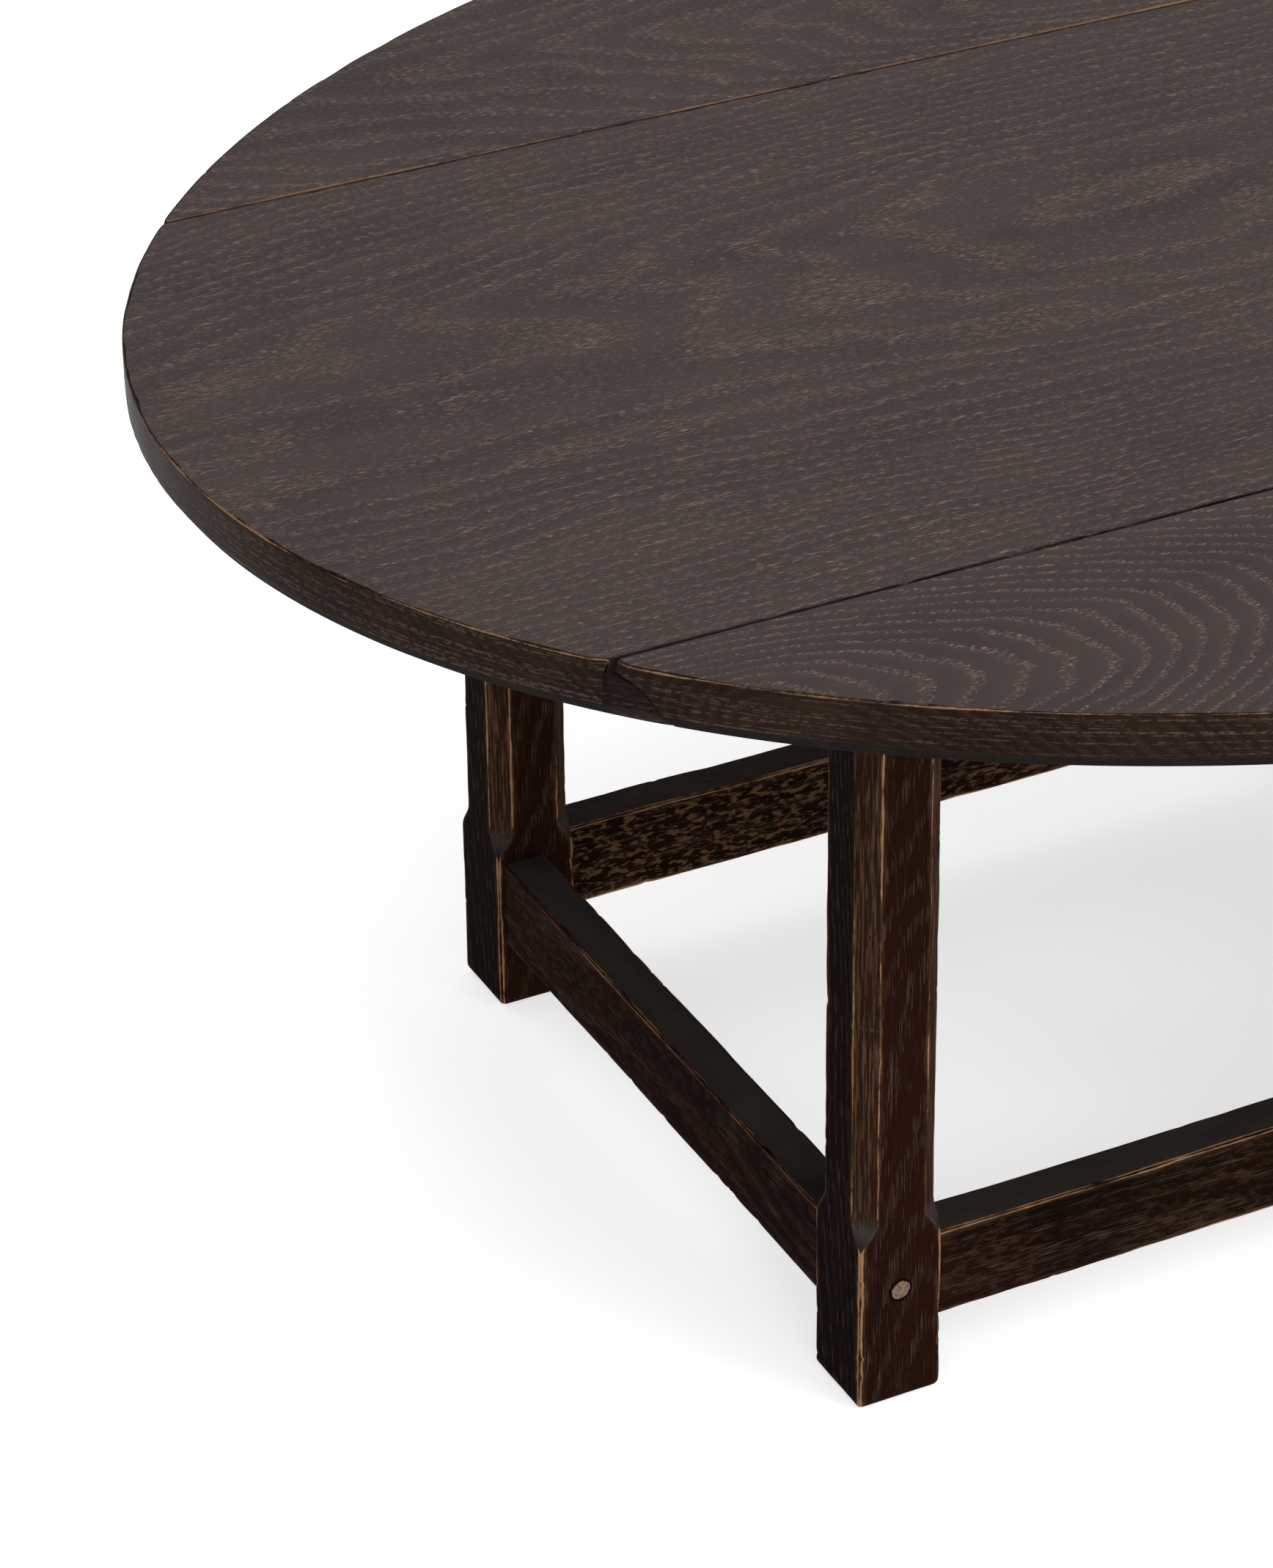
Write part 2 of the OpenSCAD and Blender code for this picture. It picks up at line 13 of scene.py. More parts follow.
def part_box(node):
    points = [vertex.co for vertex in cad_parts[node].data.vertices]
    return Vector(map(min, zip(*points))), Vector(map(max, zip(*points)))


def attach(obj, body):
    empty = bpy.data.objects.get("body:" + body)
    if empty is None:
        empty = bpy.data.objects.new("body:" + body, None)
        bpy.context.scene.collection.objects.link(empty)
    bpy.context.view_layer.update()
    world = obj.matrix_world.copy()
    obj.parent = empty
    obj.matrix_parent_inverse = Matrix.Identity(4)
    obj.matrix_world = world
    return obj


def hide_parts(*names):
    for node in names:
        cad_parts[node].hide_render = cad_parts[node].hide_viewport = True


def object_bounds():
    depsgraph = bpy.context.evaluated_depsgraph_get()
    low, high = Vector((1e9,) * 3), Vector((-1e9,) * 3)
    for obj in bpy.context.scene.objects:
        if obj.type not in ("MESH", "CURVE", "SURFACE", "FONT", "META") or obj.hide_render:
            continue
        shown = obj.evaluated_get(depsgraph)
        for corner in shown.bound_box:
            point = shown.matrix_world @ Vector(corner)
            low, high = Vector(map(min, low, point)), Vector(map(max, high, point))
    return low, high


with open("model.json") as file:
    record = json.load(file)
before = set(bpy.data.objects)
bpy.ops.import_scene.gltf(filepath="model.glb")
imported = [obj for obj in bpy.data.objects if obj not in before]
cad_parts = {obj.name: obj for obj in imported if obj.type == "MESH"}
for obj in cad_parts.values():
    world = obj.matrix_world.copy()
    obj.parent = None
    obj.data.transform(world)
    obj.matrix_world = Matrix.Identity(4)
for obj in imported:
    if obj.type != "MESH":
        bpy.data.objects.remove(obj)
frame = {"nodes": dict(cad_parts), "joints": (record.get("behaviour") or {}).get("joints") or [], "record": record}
CAD_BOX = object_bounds()

bl_info = {
    "name": "Gateleg Table Looks",
    "version": (1, 0, 0),
    "blender": (4, 5, 0),
    "location": "3D View > Sidebar > Table",
    "description": "Builds the worn oak timbers, pegs and studio of a gateleg table",
    "category": "Object",
}

MM = 0.001
SIDES = ("front", "back")
ENDS = ("left", "right")
FOOT_BLOCK = 90 * MM
HEAD_BLOCK = 52 * MM
TOP_THICKNESS = 28 * MM
OVOLO = 19 * MM
JOINT_GAP = 1.2 * MM
FAR_JOINT_WEAR = 1.2 * MM
HOUSING_ROOM = 0.45 * MM
PLATE_DEPTH = 2.6 * MM
SHOULDER_ROOM = 1.5 * MM
PEG_RADIUS = 5 * MM
STOP_OFFSET = 10 * MM
BEVEL_HEIGHT = 7 * MM
BEVEL_DEPTH = 5 * MM


# ---------------------------------------------------------------- sizes and colours a user may change


class TableSizes(bpy.types.PropertyGroup):
    """How far the timbers are worn and moulded."""

    chamfer: FloatProperty(
        name="Chamfer", description="Width a chamfer takes off each face of a leg",
        default=9 * MM, min=2 * MM, max=12 * MM, unit="LENGTH",
    )
    stop_length: FloatProperty(
        name="Stop length", description="Length of the lamb's tongue that ends each chamfer",
        default=17 * MM, min=6 * MM, max=40 * MM, unit="LENGTH",
    )
    arris: FloatProperty(
        name="Worn arris", description="Width that wear has taken off a square corner",
        default=1.0 * MM, min=0.3 * MM, max=3 * MM, unit="LENGTH",
    )
    foot_round: FloatProperty(
        name="Foot rounding", description="Radius worn on the bottom edges of the feet",
        default=4.5 * MM, min=0.5 * MM, max=8 * MM, unit="LENGTH",
    )
    waviness: FloatProperty(
        name="Plane marks", description="Depth of the hollows that hand planing left on the faces",
        default=0.25 * MM, min=0, max=1 * MM, unit="LENGTH",
    )
    rim_arris: FloatProperty(
        name="Rim arris", description="Radius worn on the upper edge of the top",
        default=1.1 * MM, min=0.3 * MM, max=4 * MM, unit="LENGTH",
    )


def stain(name, description, default):
    """A colour that a user may change, in linear red, green and blue."""
    return FloatVectorProperty(
        name=name, description=description, default=default, subtype="COLOR", size=3, min=0, max=1,
    )


class TableColours(bpy.types.PropertyGroup):
    """The colours of the stain, the bare wood and the iron, and of the painted sheen and shade."""

    top_stain: stain(
        "Top stain", "Stain of the top",
        (0.0690, 0.0525, 0.0490),
    )
    rim_stain: stain(
        "Rim stain", "Stain on the edges of the top",
        (0.0235, 0.0125, 0.0085),
    )
    frame_stain: stain(
        "Frame stain", "Stain of the legs, stretchers and gates",
        (0.0150, 0.0052, 0.0028),
    )
    # Frame shade is also the colour toward which the legs' faces away from the light are painted as shade.
    frame_shade: stain(
        "Frame shade", "Darkest stain of the legs, stretchers and gates",
        (0.0052, 0.0027, 0.0019),
    )
    filled_pore: stain(
        "Filled pore", "Pale filler in the open pores",
        (0.26, 0.195, 0.150),
    )
    bare_wood: stain(
        "Bare wood", "Oak where wear has gone through the stain",
        (0.36, 0.195, 0.098),
    )
    peg_end: stain(
        "Peg end", "End grain of the pegs",
        (0.24, 0.155, 0.10),
    )
    # Black for the joint lines and chips, and painted shade in the moulded recesses, under the rim's bevel and on
    # the underside of the top.
    joint_and_shade_black: stain(
        "Pooled stain", "Black stain in the hollows and under the top",
        (0.0085, 0.0068, 0.0058),
    )
    # Painted sheen: a grey colour painted on the upper faces of the rails, which lie in the top's shadow, and in
    # the hollows of the chamfer stops.
    dust: stain(
        "Dust", "Grey bloom on the upper faces of the rails",
        (0.058, 0.050, 0.045),
    )
    iron: stain(
        "Iron", "Blackened iron of the hinges",
        (0.020, 0.019, 0.018),
    )


class StudioSettings(bpy.types.PropertyGroup):
    """Where the camera stands and how bright the studio is."""

    azimuth: FloatProperty(
        name="Azimuth", description="Angle of the camera round to the left of the front",
        default=math.radians(27.742), subtype="ANGLE",
    )
    elevation: FloatProperty(
        name="Elevation", description="Angle of the camera above the horizon",
        default=math.radians(31.098), subtype="ANGLE",
    )
    distance: FloatProperty(
        name="Distance", description="Distance from the camera to the point it aims at",
        default=2.6617, min=0.5, unit="LENGTH",
    )
    aim: FloatVectorProperty(
        name="Aim", description="Point that the camera aims at", size=3, subtype="TRANSLATION",
        default=(-0.4145, -0.0548, 0.250), unit="LENGTH",
    )
    lens: FloatProperty(
        name="Lens", description="Focal length over a 36 mm tall picture", default=129.08, min=10,
    )
    side_shift: FloatProperty(
        name="Side shift", description="Sideways shift of the lens, as a share of the picture's height",
        default=-0.0804, min=-0.5, max=0.5,
    )
    dome: FloatProperty(
        name="Dome", description="Brightness of the overhead light dome", default=1.12, min=0,
    )


# ---------------------------------------------------------------- wear, worked out as whole arrays


def wander(t, seed, step):
    """Smooth random values from 0 to 1 along t: one random level per step, joined by a smooth curve."""
    rng = np.random.default_rng(seed)
    levels = rng.random(4096)
    place = np.asarray(t, float) / step + 1000.5
    low = np.floor(place).astype(int)
    part = place - low
    part = part * part * (3 - 2 * part)
    return levels[low % 4096] * (1 - part) + levels[(low + 1) % 4096] * part


def ripple(a, b, seed, wave):
    """Smooth values from -1 to 1 over two coordinates: the mean of six plane waves of mixed length."""
    rng = np.random.default_rng(seed)
    turn = rng.uniform(0, 2 * np.pi, 6)
    length = wave * rng.uniform(0.6, 1.9, 6)
    shift = rng.uniform(0, 2 * np.pi, 6)
    total = 0
    for k in range(6):
        along = (a * np.cos(turn[k]) + b * np.sin(turn[k])) / length[k]
        total = total + np.sin(2 * np.pi * along + shift[k])
    return total / 6


def bites(t, seed, low, high, count, depth, width):
    """Knocks along an edge: bell-shaped hollows of random place, depth and width, the deepest one kept."""
    rng = np.random.default_rng(seed)
    place = rng.uniform(low, high, count)
    deep = depth * rng.uniform(0.25, 1.0, count) ** 1.5
    wide = width * rng.uniform(0.4, 1.3, count)
    bells = deep * np.exp(-(((np.asarray(t)[..., None] - place) / wide) ** 2))
    return bells.max(axis=-1)


# ---------------------------------------------------------------- meshes from grids


def grid_mesh(name, points, values, caps=True):
    """A closed mesh from rings of points: quads join each ring to the next, and a face closes each end.
    points is (rings, points in a ring, 3) and values maps an attribute's name to (rings, points)."""
    rings, around = points.shape[:2]
    index = np.arange(rings * around).reshape(rings, around)
    beside = np.roll(index, -1, axis=1)
    quads = np.stack([index[:-1], beside[:-1], beside[1:], index[1:]], axis=-1).reshape(-1, 4)
    mesh = bpy.data.meshes.new(name)
    faces = quads.tolist()
    if caps:
        faces += [index[0, ::-1].tolist(), index[-1].tolist()]
    mesh.from_pydata(points.reshape(-1, 3).tolist(), [], faces)
    for key, value in values.items():
        layer = mesh.attributes.new(key, "FLOAT", "POINT")
        layer.data.foreach_set("value", np.ascontiguousarray(value, dtype=np.float32).ravel())
    mesh.polygons.foreach_set("use_smooth", np.ones(len(mesh.polygons), dtype=bool))
    mesh.update()
    obj = bpy.data.objects.new(name, mesh)
    bpy.context.scene.collection.objects.link(obj)
    return obj


def merge_doubles(obj, distance=1e-6):
    """Joins points that fall together, so that poles and squeezed rings close without empty faces."""
    shape = bmesh.new()
    shape.from_mesh(obj.data)
    bmesh.ops.remove_doubles(shape, verts=shape.verts, dist=distance)
    bmesh.ops.dissolve_degenerate(shape, edges=shape.edges, dist=distance)
    bmesh.ops.recalc_face_normals(shape, faces=shape.faces)
    shape.to_mesh(obj.data)
    shape.free()
    obj.data.update()


def dress(obj, material, *nodes, body=None):
    """Gives a finished piece its material, sets it on its body and puts it in place of its CAD nodes."""
    obj.data.materials.clear()
    obj.data.materials.append(material)
    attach(obj, body or body_of(nodes[0]))
    if nodes:
        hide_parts(*nodes)
    return obj


def body_of(node):
    """The name of the body that holds a CAD node."""
    for name, nodes in frame["record"]["behaviour"]["bodies"].items():
        if node in nodes:
            return name
    raise ValueError(f"no body holds {node}")


def corners(node):
    """The lowest and highest corner of a CAD node as arrays, in metres."""
    low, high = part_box(node)
    return np.array(low, float), np.array(high, float)


# ---------------------------------------------------------------- a worn timber


BEND = np.array([0, 0.25, 0.5, 0.75, 1.0])
FACE_STEPS = 0.5 - 0.5 * np.cos(np.pi * np.arange(1, 10) / 10)


def worn_section(limits, cut, soft):
    """The outline of a timber at each place along it: a rectangle whose four corners are cut by a chamfer,
    with both edges of each chamfer softened by a curve through the edge's own point.
    limits is (n, 4): low u, high u, low v, high v. cut and soft are (n, 4), one value per corner.
    Returns the outline (n, points, 2), how far each point is from the nearest edge, and where it is:
    k on face k, and k - 0.5 on the corner before that face."""
    u0, u1, v0, v1 = (limits[:, k] for k in range(4))
    tips = [np.stack(p, -1) for p in ((u1, v0), (u1, v1), (u0, v1), (u0, v0))]
    ways = np.array([[1, 0], [0, 1], [-1, 0], [0, -1]], float)
    parts, gaps = [], []
    starts, stops = [], []
    for k in range(4):
        c = cut[:, k, None]
        r = np.minimum(soft[:, k, None], 0.45 * np.sqrt(2) * c)
        inward, outward = ways[k], ways[(k + 1) % 4]
        first = tips[k] - inward * c
        last = tips[k] + outward * c
        slope = (outward + inward) / np.sqrt(2)

        def curve(mid, before, after):
            a, b = mid - before * r, mid + after * r
            t = BEND[None, :, None]
            return (1 - t) ** 2 * a[:, None] + 2 * t * (1 - t) * mid[:, None] + t ** 2 * b[:, None]

        bend_1 = curve(first, inward, slope)
        bend_2 = curve(last, slope, outward)
        t = np.array([0.25, 0.5, 0.75])[None, :, None]
        flat = bend_1[:, -1:] * (1 - t) + bend_2[:, :1] * t
        corner = np.concatenate([bend_1, flat, bend_2], axis=1)
        to_first = np.linalg.norm(corner - first[:, None], axis=-1)
        to_last = np.linalg.norm(corner - last[:, None], axis=-1)
        near = np.minimum(to_first, to_last)
        parts.append(corner)
        gaps.append(near)
        starts.append(bend_1[:, 0])
        stops.append(bend_2[:, -1])
    outline, edge, face = [], [], []
    for k in range(4):
        after = (k + 1) % 4
        t = FACE_STEPS[None, :, None]
        run = stops[k][:, None] * (1 - t) + starts[after][:, None] * t
        far = np.linalg.norm(starts[after] - stops[k], axis=-1)[:, None]
        reach = np.minimum(FACE_STEPS[None, :], 1 - FACE_STEPS[None, :]) * far + 0.4 * MM
        outline += [parts[k], run]
        edge += [gaps[k], reach]
        face += [np.full(gaps[k].shape, k - 0.5), np.full(reach.shape, float(k))]
    return np.concatenate(outline, 1), np.concatenate(edge, 1), np.concatenate(face, 1)


def timber(name, axis, places, limits, cut, seed, up_face=None, soft=0.7 * MM, rounding=0.6 * MM,
           tones=(0.4, 0.5, 0.4, 0.5), scoops=()):
    """A worn timber: its section carried along an axis, its ends eased and its faces left wavy by the plane.
    axis is 0, 1 or 2. places is the row of distances along it, limits and cut are as in worn_section.
    The list of tones gives each face how dark its stain is drawn, which on the legs is painted shade. up_face is
    the face masked for a painted grey sheen. scoops lists the middles of the hollows of the stops, with the way
    that
    leads out of the chamfer: stain collects in them and a grey sheen is painted there, and the point beyond is
    rubbed bare."""
    sizes = bpy.context.scene.table_sizes
    lengths = np.arange(4) * 7.3
    soften = soft * (0.35 + 1.3 * wander(places[:, None] + lengths, seed + 1, 9 * MM) ** 2)
    wear = cut + 0.5 * sizes.arris * wander(places[:, None] + lengths, seed + 2, 14 * MM) ** 2
    for k in range(4):
        wear[:, k] += bites(places, seed + 10 + k, places.min(), places.max(), 9, 1.1 * MM, 2.2 * MM)
    low_round = rounding if np.isscalar(rounding) else rounding[0]
    high_round = rounding if np.isscalar(rounding) else rounding[1]
    s_parts, l_parts, c_parts, r_parts = [], [], [], []
    for end, radius in ((0, low_round), (-1, high_round)):
        steps = 1 - np.array([1, 0.8, 0.55, 0.25])
        inset = radius * (1 - np.sqrt(np.maximum(0, 1 - (1 - steps) ** 2)))
        inside = limits[end][None] + inset[:, None] * np.array([1, -1, 1, -1])
        along = places[end] + (1 if end == 0 else -1) * radius * steps
        s_parts.append(along)
        l_parts.append(inside)
        c_parts.append(np.repeat(wear[end][None], 4, 0))
        r_parts.append(np.repeat(soften[end][None], 4, 0))
    keep = (places > places[0] + low_round) & (places < places[-1] - high_round)
    s = np.concatenate([s_parts[0], places[keep], s_parts[1][::-1]])
    lim = np.concatenate([l_parts[0], limits[keep], l_parts[1][::-1]])
    c = np.concatenate([c_parts[0], wear[keep], c_parts[1][::-1]])
    r = np.concatenate([r_parts[0], soften[keep], r_parts[1][::-1]])
    outline, edge, face = worn_section(lim, c, r)
    middle = np.stack([lim[:, 0] + lim[:, 1], lim[:, 2] + lim[:, 3]], -1)[:, None] / 2
    spread = outline - middle
    half = np.maximum(np.stack([lim[:, 1] - lim[:, 0], lim[:, 3] - lim[:, 2]], -1)[:, None] / 2, MM)
    round_it = outline[..., 0] * 3 + outline[..., 1] * 5
    wave = sizes.waviness * (0.5 + 0.5 * ripple(s[:, None] + 0 * edge, round_it, seed, 60 * MM))
    outline = middle + spread * (1 - wave[..., None] / half)
    points = np.empty(outline.shape[:2] + (3,))
    points[..., axis] = s[:, None]
    points[..., (axis + 1) % 3] = outline[..., 0]
    points[..., (axis + 2) % 3] = outline[..., 1]
    on_corner = face % 1 != 0
    # Painted sheen: the upper face is masked for the grey sheen painted on the rails' tops.
    soot = np.zeros_like(edge) if up_face is None else (face == up_face).astype(float)
    # The hollows of the stops are masked for stain that collects there and for a painted grey sheen; the point
    # beyond is rubbed bare.
    for middle_of, way in scoops:
        pool_and_painted_light = np.exp(-(((s - middle_of) / (5 * MM)) ** 2))
        point_out = np.exp(-(((s - middle_of - way * 13 * MM) / (7 * MM)) ** 2))
        soot = np.maximum(soot, pool_and_painted_light[:, None] * on_corner)
        edge = edge + on_corner * (2.2 * MM * pool_and_painted_light - 0.5 * MM * point_out)[:, None]
    # Painted shade: each face's tone sets how dark its stain is drawn; on the legs it stands for the light that
    # face gets.
    order = np.array(tones, float)
    tone = np.interp(face, np.arange(-1, 5), order[[3, 0, 1, 2, 3, 0]])
    bevel = on_corner * np.clip((c.max(axis=1) - 3 * MM) / (4 * MM), 0, 1)[:, None]
    return grid_mesh(name, points, {"edge": edge * 1000, "soot": soot, "tone": tone, "bevel": bevel})


def stations(low, high, step, *breaks):
    """Places along a timber: even steps, with a pair of places close together at each break."""
    count = max(2, int(round((high - low) / step)))
    places = [np.linspace(low, high, count + 1)]
    for b in breaks:
        places.append(np.array([b - 0.01 * MM, b + 0.01 * MM]))
    return np.unique(np.concatenate(places))


def leg_chamfer(z, top, sizes):
    """Chamfer width along a leg: the worn arris in the blocks, then an S curve up to the full width."""
    low, high = FOOT_BLOCK, top - HEAD_BLOCK
    width, stop, least = sizes.chamfer, sizes.stop_length, sizes.arris
    rise = np.clip((z - low) / stop, 0, 1)
    fall = np.clip((high - z) / stop, 0, 1)
    share = np.minimum(rise, fall)
    share = share * share * (3 - 2 * share)
    return least + (width - least) * share


# ---------------------------------------------------------------- the three boards of the top


def rim_inset(z, z_top, bottom, ease):
    """How far the rim stands in from the oval at height z: a worn round above and a bevel below."""
    drop = np.clip(1 - (z_top - z) / ease, 0, 1)
    bevel = np.maximum(0, bottom + BEVEL_HEIGHT - z) / BEVEL_HEIGHT * BEVEL_DEPTH
    return ease * (1 - np.sqrt(1 - drop ** 2)) + bevel


def oval_half(inset, y, a, b):
    """Half the length of the oval at y, once its rim is moved in by inset."""
    share = np.clip(1 - (y / (b - inset)) ** 2, 0, 1)
    return (a - inset) * np.sqrt(share)


def hinge_spans():
    """Where the hinges lie: the middle and half length of each, the y span and the z span of its plates."""
    spans = []
    for place in ("left", "middle", "right"):
        low, high = corners(f"plate_fixed_back_{place}")
        _, leaf_high = corners(f"plate_leaf_back_{place}")
        spans.append(((low[0] + high[0]) / 2, (high[0] - low[0]) / 2, low[1], leaf_high[1], low[2], high[2]))
    return spans


def housings(x, y, z):
    """The underside with its hinge housings: a shallow seat for each plate, a deeper one for the knuckle."""
    edge, _ = joint_place()
    for middle, half, inner, outer, z_low, z_high in hinge_spans():
        along = np.abs(x - middle) < half + HOUSING_ROOM
        seat = along & (np.abs(y) > inner - HOUSING_ROOM) & (np.abs(y) < outer + HOUSING_ROOM)
        groove = along & (np.abs(np.abs(y) - edge) < 3.5 * MM)
        z = np.where(seat, np.maximum(z, z_low + PLATE_DEPTH), z)
        z = np.where(groove, np.maximum(z, z_high + 0.3 * MM), z)
    return z


def under_columns():
    """The places along the underside that every long ring shares, with pairs at each housing's ends."""
    marks = []
    for middle, half, *_ in hinge_spans():
        for way in (-1, 1):
            marks += [middle + way * (half + 0.4 * MM), middle + way * (half + 0.5 * MM)]
    reach = max(marks) + MM
    return np.unique(np.concatenate([np.linspace(-reach, reach, 44), marks]))[::-1]


def board(name, y, z_top, z_bottom, seed, across=260, corner=None, joint_lines=(), recess=None, chips=(),
          rubbed=False):
    """A board of the oval top: rings of constant y, each running along the upper face, down the rim,
    back along the underside and up the other rim. y, z_top and z_bottom hold one value per ring.
    corner is the extra length worn off the ends of each ring. recess marks the rings of a moulded edge, whose
    fillet and quarter round are painted dark as shade. The rim under its bevel and the underside are painted dark
    as shade too.
    chips lists the place, depth and width of splinters missing from the first joint line.
    rubbed says that wear shows along the joint lines; otherwise a narrow band along them is darkened."""
    sizes = bpy.context.scene.table_sizes
    high = CAD_BOX[1]
    a, b = high[0], high[1]
    bottom = high[2] - TOP_THICKNESS
    rings = len(y)
    corner = np.zeros(rings) if corner is None else corner
    t_top = np.sin(np.linspace(-0.5, 0.5, across) * np.pi * 0.96) / math.sin(0.48 * np.pi)
    down = np.array([0, 0.06, 0.2, 0.45, 0.75, 1.0])

    def rim(side):
        angle = np.arctan2(y / b, side * oval_half(0, y, 1.0, b))
        ease = sizes.rim_arris * (0.6 + 0.9 * wander(angle * a, seed + side, 24 * MM) ** 2)
        ease = ease + bites(angle * a, seed + 5 + side, -np.pi * a, np.pi * a, 90, 0.9 * MM, 6 * MM)
        ease = np.minimum(ease, 0.8 * (z_top - z_bottom) + 1e-5)
        z_round = z_top[:, None] - ease[:, None] * down
        wall_end = np.maximum(z_bottom, bottom + BEVEL_HEIGHT + 0.5 * MM)
        wall_end = np.minimum(wall_end, z_round[:, -1])
        z_wall = z_round[:, -1:] + (wall_end - z_round[:, -1])[:, None] * np.array([0.35, 0.7, 1.0])
        fall = np.array([0.08, 0.16, 0.4, 0.7, 0.94, 1.0])
        z_low = wall_end[:, None] + (z_bottom - wall_end)[:, None] * fall
        z = np.concatenate([z_round, z_wall, z_low], 1)
        inset = rim_inset(z, z_top[:, None], bottom, ease[:, None])
        nick = 0.35 * MM * wander(angle * a, seed + 9 + side, 3 * MM) ** 4
        lower = np.exp(-(((z - bottom - BEVEL_HEIGHT) / (1.2 * MM)) ** 2))
        sway = 0.15 * MM * wander(angle[:, None] * a + z * 9, seed + 3, 30 * MM)
        inset = inset + nick[:, None] * lower + sway
        fade = np.clip(1 - (z_top[:, None] - z) / (16 * MM), 0, 1) ** 0.7
        x = side * (oval_half(inset, y[:, None], a, b) - corner[:, None] * fade)
        x = np.where(side * x < 0, 0, x)
        reach = np.sign(y)[:, None] * np.minimum(np.abs(y)[:, None], b - inset)
        edge = np.abs(z_top[:, None] - z - 0.5 * ease[:, None])
        edge = np.minimum(edge, np.abs(z - bottom - BEVEL_HEIGHT) + 0.3 * MM)
        edge = np.where(moulded[:, None], 20 * MM, edge)
        # Painted shade: the rim below the bevel, and the ends of the moulded rows, are masked dark.
        below = np.where(moulded[:, None], 0.6, z < bottom + BEVEL_HEIGHT - 0.3 * MM)
        return x, reach, z, edge, np.ones_like(z), below

    moulded = np.zeros(rings, bool) if recess is None else recess
    right = rim(1)
    left = tuple(v[:, ::-1] for v in rim(-1))
    x_top = left[0][:, -1:] + (right[0][:, :1] - left[0][:, -1:]) * (t_top[None] + 1) / 2
    y_top = np.repeat(right[1][:, :1], across, 1)
    columns = under_columns()
    reach_low = right[0][:, -1:]
    shared = columns[None] * np.minimum(1, np.maximum(reach_low - 3 * MM, 0) / (columns.max() + MM))
    spill = np.array([0.75, 0.5, 0.25])[None]
    to_right = shared[:, :1] + (reach_low - shared[:, :1]) * spill
    to_left = shared[:, -1:] + (left[0][:, :1] - shared[:, -1:]) * spill[:, ::-1]
    x_low = np.concatenate([to_right, shared, to_left], 1)
    y_low = np.repeat(right[1][:, -1:], x_low.shape[1], 1)
    z_low = housings(x_low, y_low, np.repeat(z_bottom[:, None], x_low.shape[1], 1))
    z_low = np.minimum(z_low, np.maximum(z_top - 0.3 * MM, z_bottom)[:, None])
    near = np.minimum(right[0][:, :1] - x_top, x_top - left[0][:, -1:]) + 0.5 * MM
    near = np.maximum(near, 0)
    torn = np.zeros_like(y_top)
    # A narrow band along each joint line is darkened unless the line is rubbed.
    line_darkening = torn * 0
    for line in joint_lines:
        gap = np.abs(y_top - line)
        near = np.minimum(near, 0.8 * gap if rubbed else gap + 0.45 * MM)
        line_darkening = np.maximum(line_darkening, 0 if rubbed else np.clip(1.3 - gap / (0.9 * MM), 0, 1))
    for place, deep, wide in chips:
        bell = np.exp(-(((x_top - place) / wide) ** 2))
        beside = np.clip(1 - np.abs(y_top - joint_lines[0]) / (4.5 * MM), 0, 1)
        torn = np.maximum(torn, deep * (bell * beside))
    near = near + 4 * torn
    hollow = np.maximum(torn / (2 * MM), line_darkening)
    # Painted shade: the fillet and quarter round of a moulded edge are masked fully dark and carry no wear.
    if recess is not None:
        near[recess] = 20 * MM
        hollow[recess] = 1
    x = np.concatenate([x_top[:, 1:-1], right[0], x_low, left[0]], 1)
    yy = np.concatenate([y_top[:, 1:-1], right[1], y_low, left[1]], 1)
    z = np.concatenate([np.repeat(z_top[:, None], across - 2, 1), right[2], z_low, left[2]], 1)
    edge = np.concatenate([near[:, 1:-1], right[3], np.full_like(x_low, 30 * MM), left[3]], 1)
    side = np.concatenate([np.zeros_like(x_top[:, 1:-1]), right[4], np.ones_like(x_low), left[4]], 1)
    # Painted shade: the underside of the top is masked 0.7 dark.
    soot = np.concatenate([hollow[:, 1:-1], right[5], np.full_like(x_low, 0.7), left[5]], 1)
    on_top = np.zeros(x.shape[1], bool)
    on_top[: across - 2] = True
    dip = sizes.waviness * 0.8 * (0.5 + 0.5 * ripple(x, yy, seed + 20, 90 * MM))
    for line in joint_lines:
        gap = np.abs(yy - line)
        hits = bites(x, seed + 30, -a, a, 46, 1.0 * MM, 3.5 * MM)
        hits = hits + 0.25 * MM * wander(x, seed + 31, 5 * MM) ** 2
        dip = dip + hits * np.clip(1 - gap / (2.2 * MM), 0, 1)
    dip[:, : across - 2] += torn[:, 1:-1]
    height = np.clip((z - z_bottom[:, None]) / np.maximum(z_top - z_bottom, MM)[:, None], 0, 1) ** 6
    height = np.where(on_top[None], (z_top - z_bottom > 12 * MM)[:, None], height)
    z = z - dip * height
    points = np.stack([x, yy, z], -1)
    obj = grid_mesh(name, points, {"edge": edge * 1000, "rim": side, "soot": np.clip(soot, 0, 1)})
    merge_doubles(obj)
    return obj


def joint_place():
    """Half the width between the rule joints and the height of the hinge axis, read from the joints."""
    for joint in frame["joints"]:
        if joint["name"] == "leaf_back_drop":
            return joint["pos_m"][1], joint["pos_m"][2]
    raise ValueError("the leaf's joint is missing")


